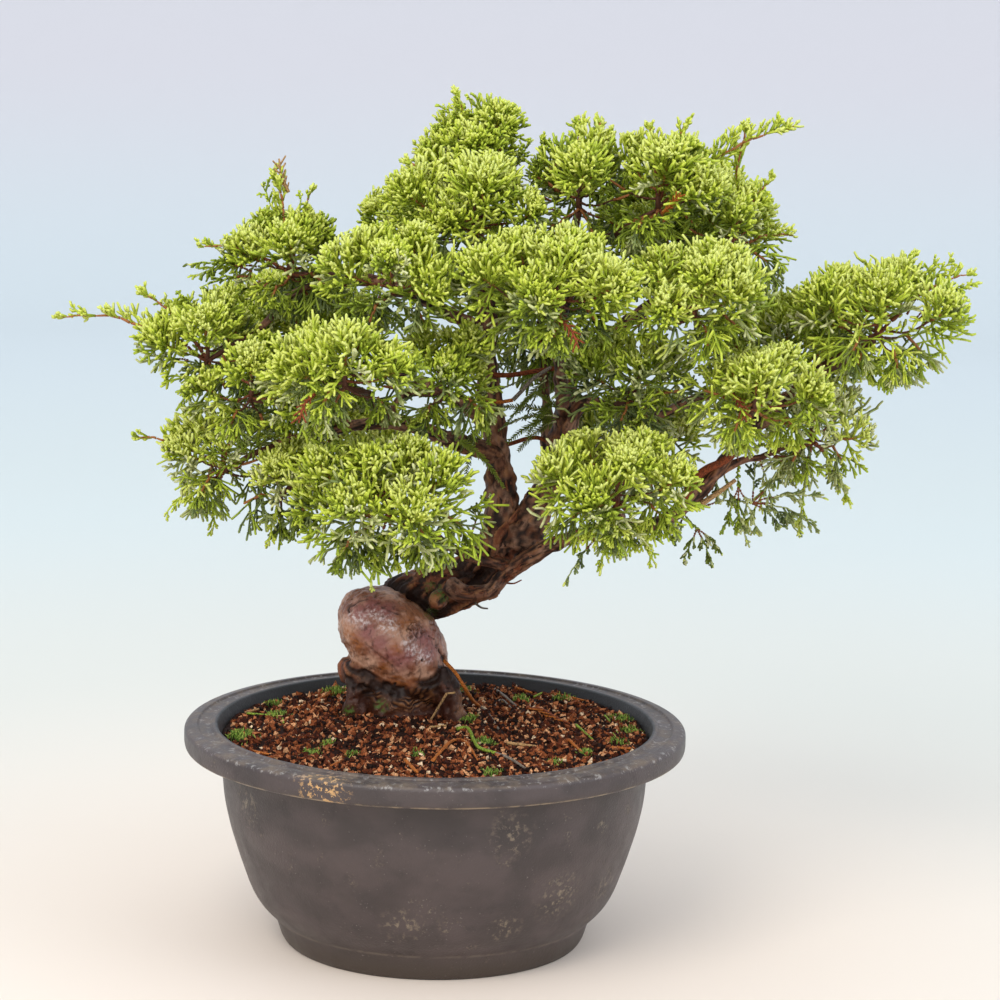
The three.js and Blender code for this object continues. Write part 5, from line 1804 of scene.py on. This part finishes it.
# %% The litter and the dead twigs
def fingers(points, normal, length, kind):
    """The side shoots of a dead sprig, left and right by turns, leaning forward, shorter to its tip."""
    stem = smooth_path(points, 12)
    rows = []
    for step in range(2, 11):
        ahead = unit(stem[step - 1] - stem[step])
        aside = np.cross(normal, ahead) * (1 if step % 2 else -1)
        finger = stem[step] + length * (1 - 0.04 * step) * unit(ahead + 0.8 * aside)
        rows.append((kind, (0.5, 0.35), [stem[step], finger]))
    return rows


litter_finish = [earth("twig_" + kind, colour, 0.75) for kind, colour in LITTER_COLOURS.items()]
lying = [(kind, radii, laid(places, radii[0])) for kind, radii, places in LYING_TWIGS]
lying += fingers(lying[-1][2], (0, 0.15, 1), 8.5, "orange")
hung = [(kind, (0.8, 0.4), points) for kind, points in HUNG_SPRIGS]
for kind, points in HUNG_SPRIGS:
    hung += fingers(points[::-1], (0, -1, 0.2), 5.5, kind)
thin_twigs("soil_litter", "soil", lying + LEANING_TWIGS)
thin_twigs("dead_twigs", "bark", DEAD_TWIGS + hung)

# %% Moss
MOSS_COLOURS = ["4f6a1e", "6f8d2a", "9db34c"]
# Tufts: place on the soil, how wide, and how many blades.
MOSS_TUFTS = [
    (-50, 72, 6, 200), (-75, 23, 5, 160), (-88, -20, 7, 260), (-48, -30, 3.5, 90), (23, -19, 4.5, 130),
    (15, 16, 4, 110), (26, -76, 5, 120), (86, 30, 5, 150), (68, -41, 4, 100), (91, 9, 5, 130),
    (-78, 45, 4, 90), (-6, -49, 3, 60), (-54, -45, 4, 90), (55, -58, 3.5, 60), (84, -16, 4, 80),
    (-36, -49, 3, 50), (-36, 66, 6, 150), (60, 66, 5, 110), (10, 80, 7, 160), (-20, 84, 6, 120),
    (40, 62, 4, 80),
]


def moss_blades(random):
    """Short blades that stand in tufts: each starts near its tuft's middle and leans outwards."""
    x, y, width, count = np.array(MOSS_TUFTS).T
    number = np.repeat(np.arange(len(x)), count.astype(int))
    off = random.normal(scale=0.45, size=(len(number), 2)) * width[number][:, None] * (1, 1.3)
    root_x, root_y = x[number] + off[:, 0], y[number] + off[:, 1]
    inside = np.hypot(root_x, root_y) < SOIL_WALL - 1.5
    root_x, root_y = root_x[inside], root_y[inside]
    root = np.stack([root_x, root_y, soil_height(root_x, root_y) + 0.2], 1)
    way = unit(random.normal(scale=0.45, size=root.shape) + (0, 0, 1))
    return root, root + way * random.uniform(1.2, 2.9, (len(root), 1))


moss_random = np.random.default_rng(77)
start, end = moss_blades(moss_random)
blade_tone = moss_random.choice(len(MOSS_COLOURS), len(start), p=[0.35, 0.4, 0.25])
blades = [drawn("blade", start, end, np.full(len(start), 0.3), blade_tone, 78)]
settle(corded_piece("moss", blades, plain_finishes("moss", MOSS_COLOURS, 0.8)), "foliage")

# %% [markdown]
# ## Stage and light
#
# The part stands on a plain pale floor that curves up into a low round wall, far enough out that no horizon
# cuts through the crown. The paper is cream under the pot and turns blue white with distance. One large
# soft light stands high at the front left, a weaker one at the right, a low one lifts the shadows from the
# front, and the sky fills the rest.

# %% Floor and backdrop
STAGE_FLAT = 2600
STAGE_BEND = 1000
STAGE_TOP = 1700
STAGE_SIDES = 96


def stage_profile():
    """Radius and height from the wall's top, down a quarter circle and over the floor to its middle."""
    bend_angle = np.linspace(TAU / 4, 0, 25)
    bend_radius = STAGE_FLAT + STAGE_BEND * np.sin(bend_angle)
    bend = np.stack([bend_radius, STAGE_BEND * (1 - np.cos(bend_angle))], 1)
    flat = [[radius, 0] for radius in (STAGE_FLAT - 20, 1500, 500, 0)]
    return np.vstack([[[STAGE_FLAT + STAGE_BEND, STAGE_TOP]], bend, flat])


paper, tree, shader = new_material("paper_backdrop", "e9dbce", 0.9)
across, height = axis_place(tree)
paper_colour = layered(tree, "e9dbce", [
    ("d6d5cd", (across, 0.1, 0.6)),
    ("d3dad8", (across, 0.5, 1.2)),
    ("d5dddf", (across, 1.2, 2.4)),
    ("dad6d9", (height, 0.0, 0.35)),
])
tree.links.new(paper_colour, shader.inputs["Base Color"])
stage_rows = stage_profile()
stage_faces = [grid_faces(len(stage_rows), STAGE_SIDES)]
floor = make_piece("floor", turned(stage_rows, STAGE_SIDES), stage_faces, [paper])
close_poles(floor)

# %% Lights
# Square soft lights: place and size in metres, power in watts, colour. All look at the tree's middle.
LIGHTS = {
    "key_light": ((-0.75, -1.5, 1.75), 1.3, 28.5, "fff8ee"),
    "fill_light": ((1.6, -0.9, 0.9), 1.2, 9, "eef5ff"),
    "bounce_light": ((-0.3, -1.7, 0.25), 1.6, 6, "fff2de"),
}
TREE_MIDDLE = Vector((0.03, 0, 0.22))
SKY_STRENGTH = 1.28
for name, (place, size, power, colour) in LIGHTS.items():
    light = bpy.data.lights.new(name, "AREA")
    light.size = size
    light.energy = power
    light.color = linear(colour)[:3]
    lamp = bpy.data.objects.new(name, light)
    lamp.location = place
    lamp.rotation_euler = (TREE_MIDDLE - Vector(place)).to_track_quat("-Z", "Y").to_euler()
    bpy.context.scene.collection.objects.link(lamp)
sky = bpy.data.worlds.new("soft_sky")
sky.use_nodes = True
background = sky.node_tree.nodes["Background"]
background.inputs["Color"].default_value = linear("e8f1fa")
background.inputs["Strength"].default_value = SKY_STRENGTH
bpy.context.scene.world = sky
bpy.context.scene.view_settings.view_transform = "Standard"
print("lights:", len(LIGHTS), "and the sky")
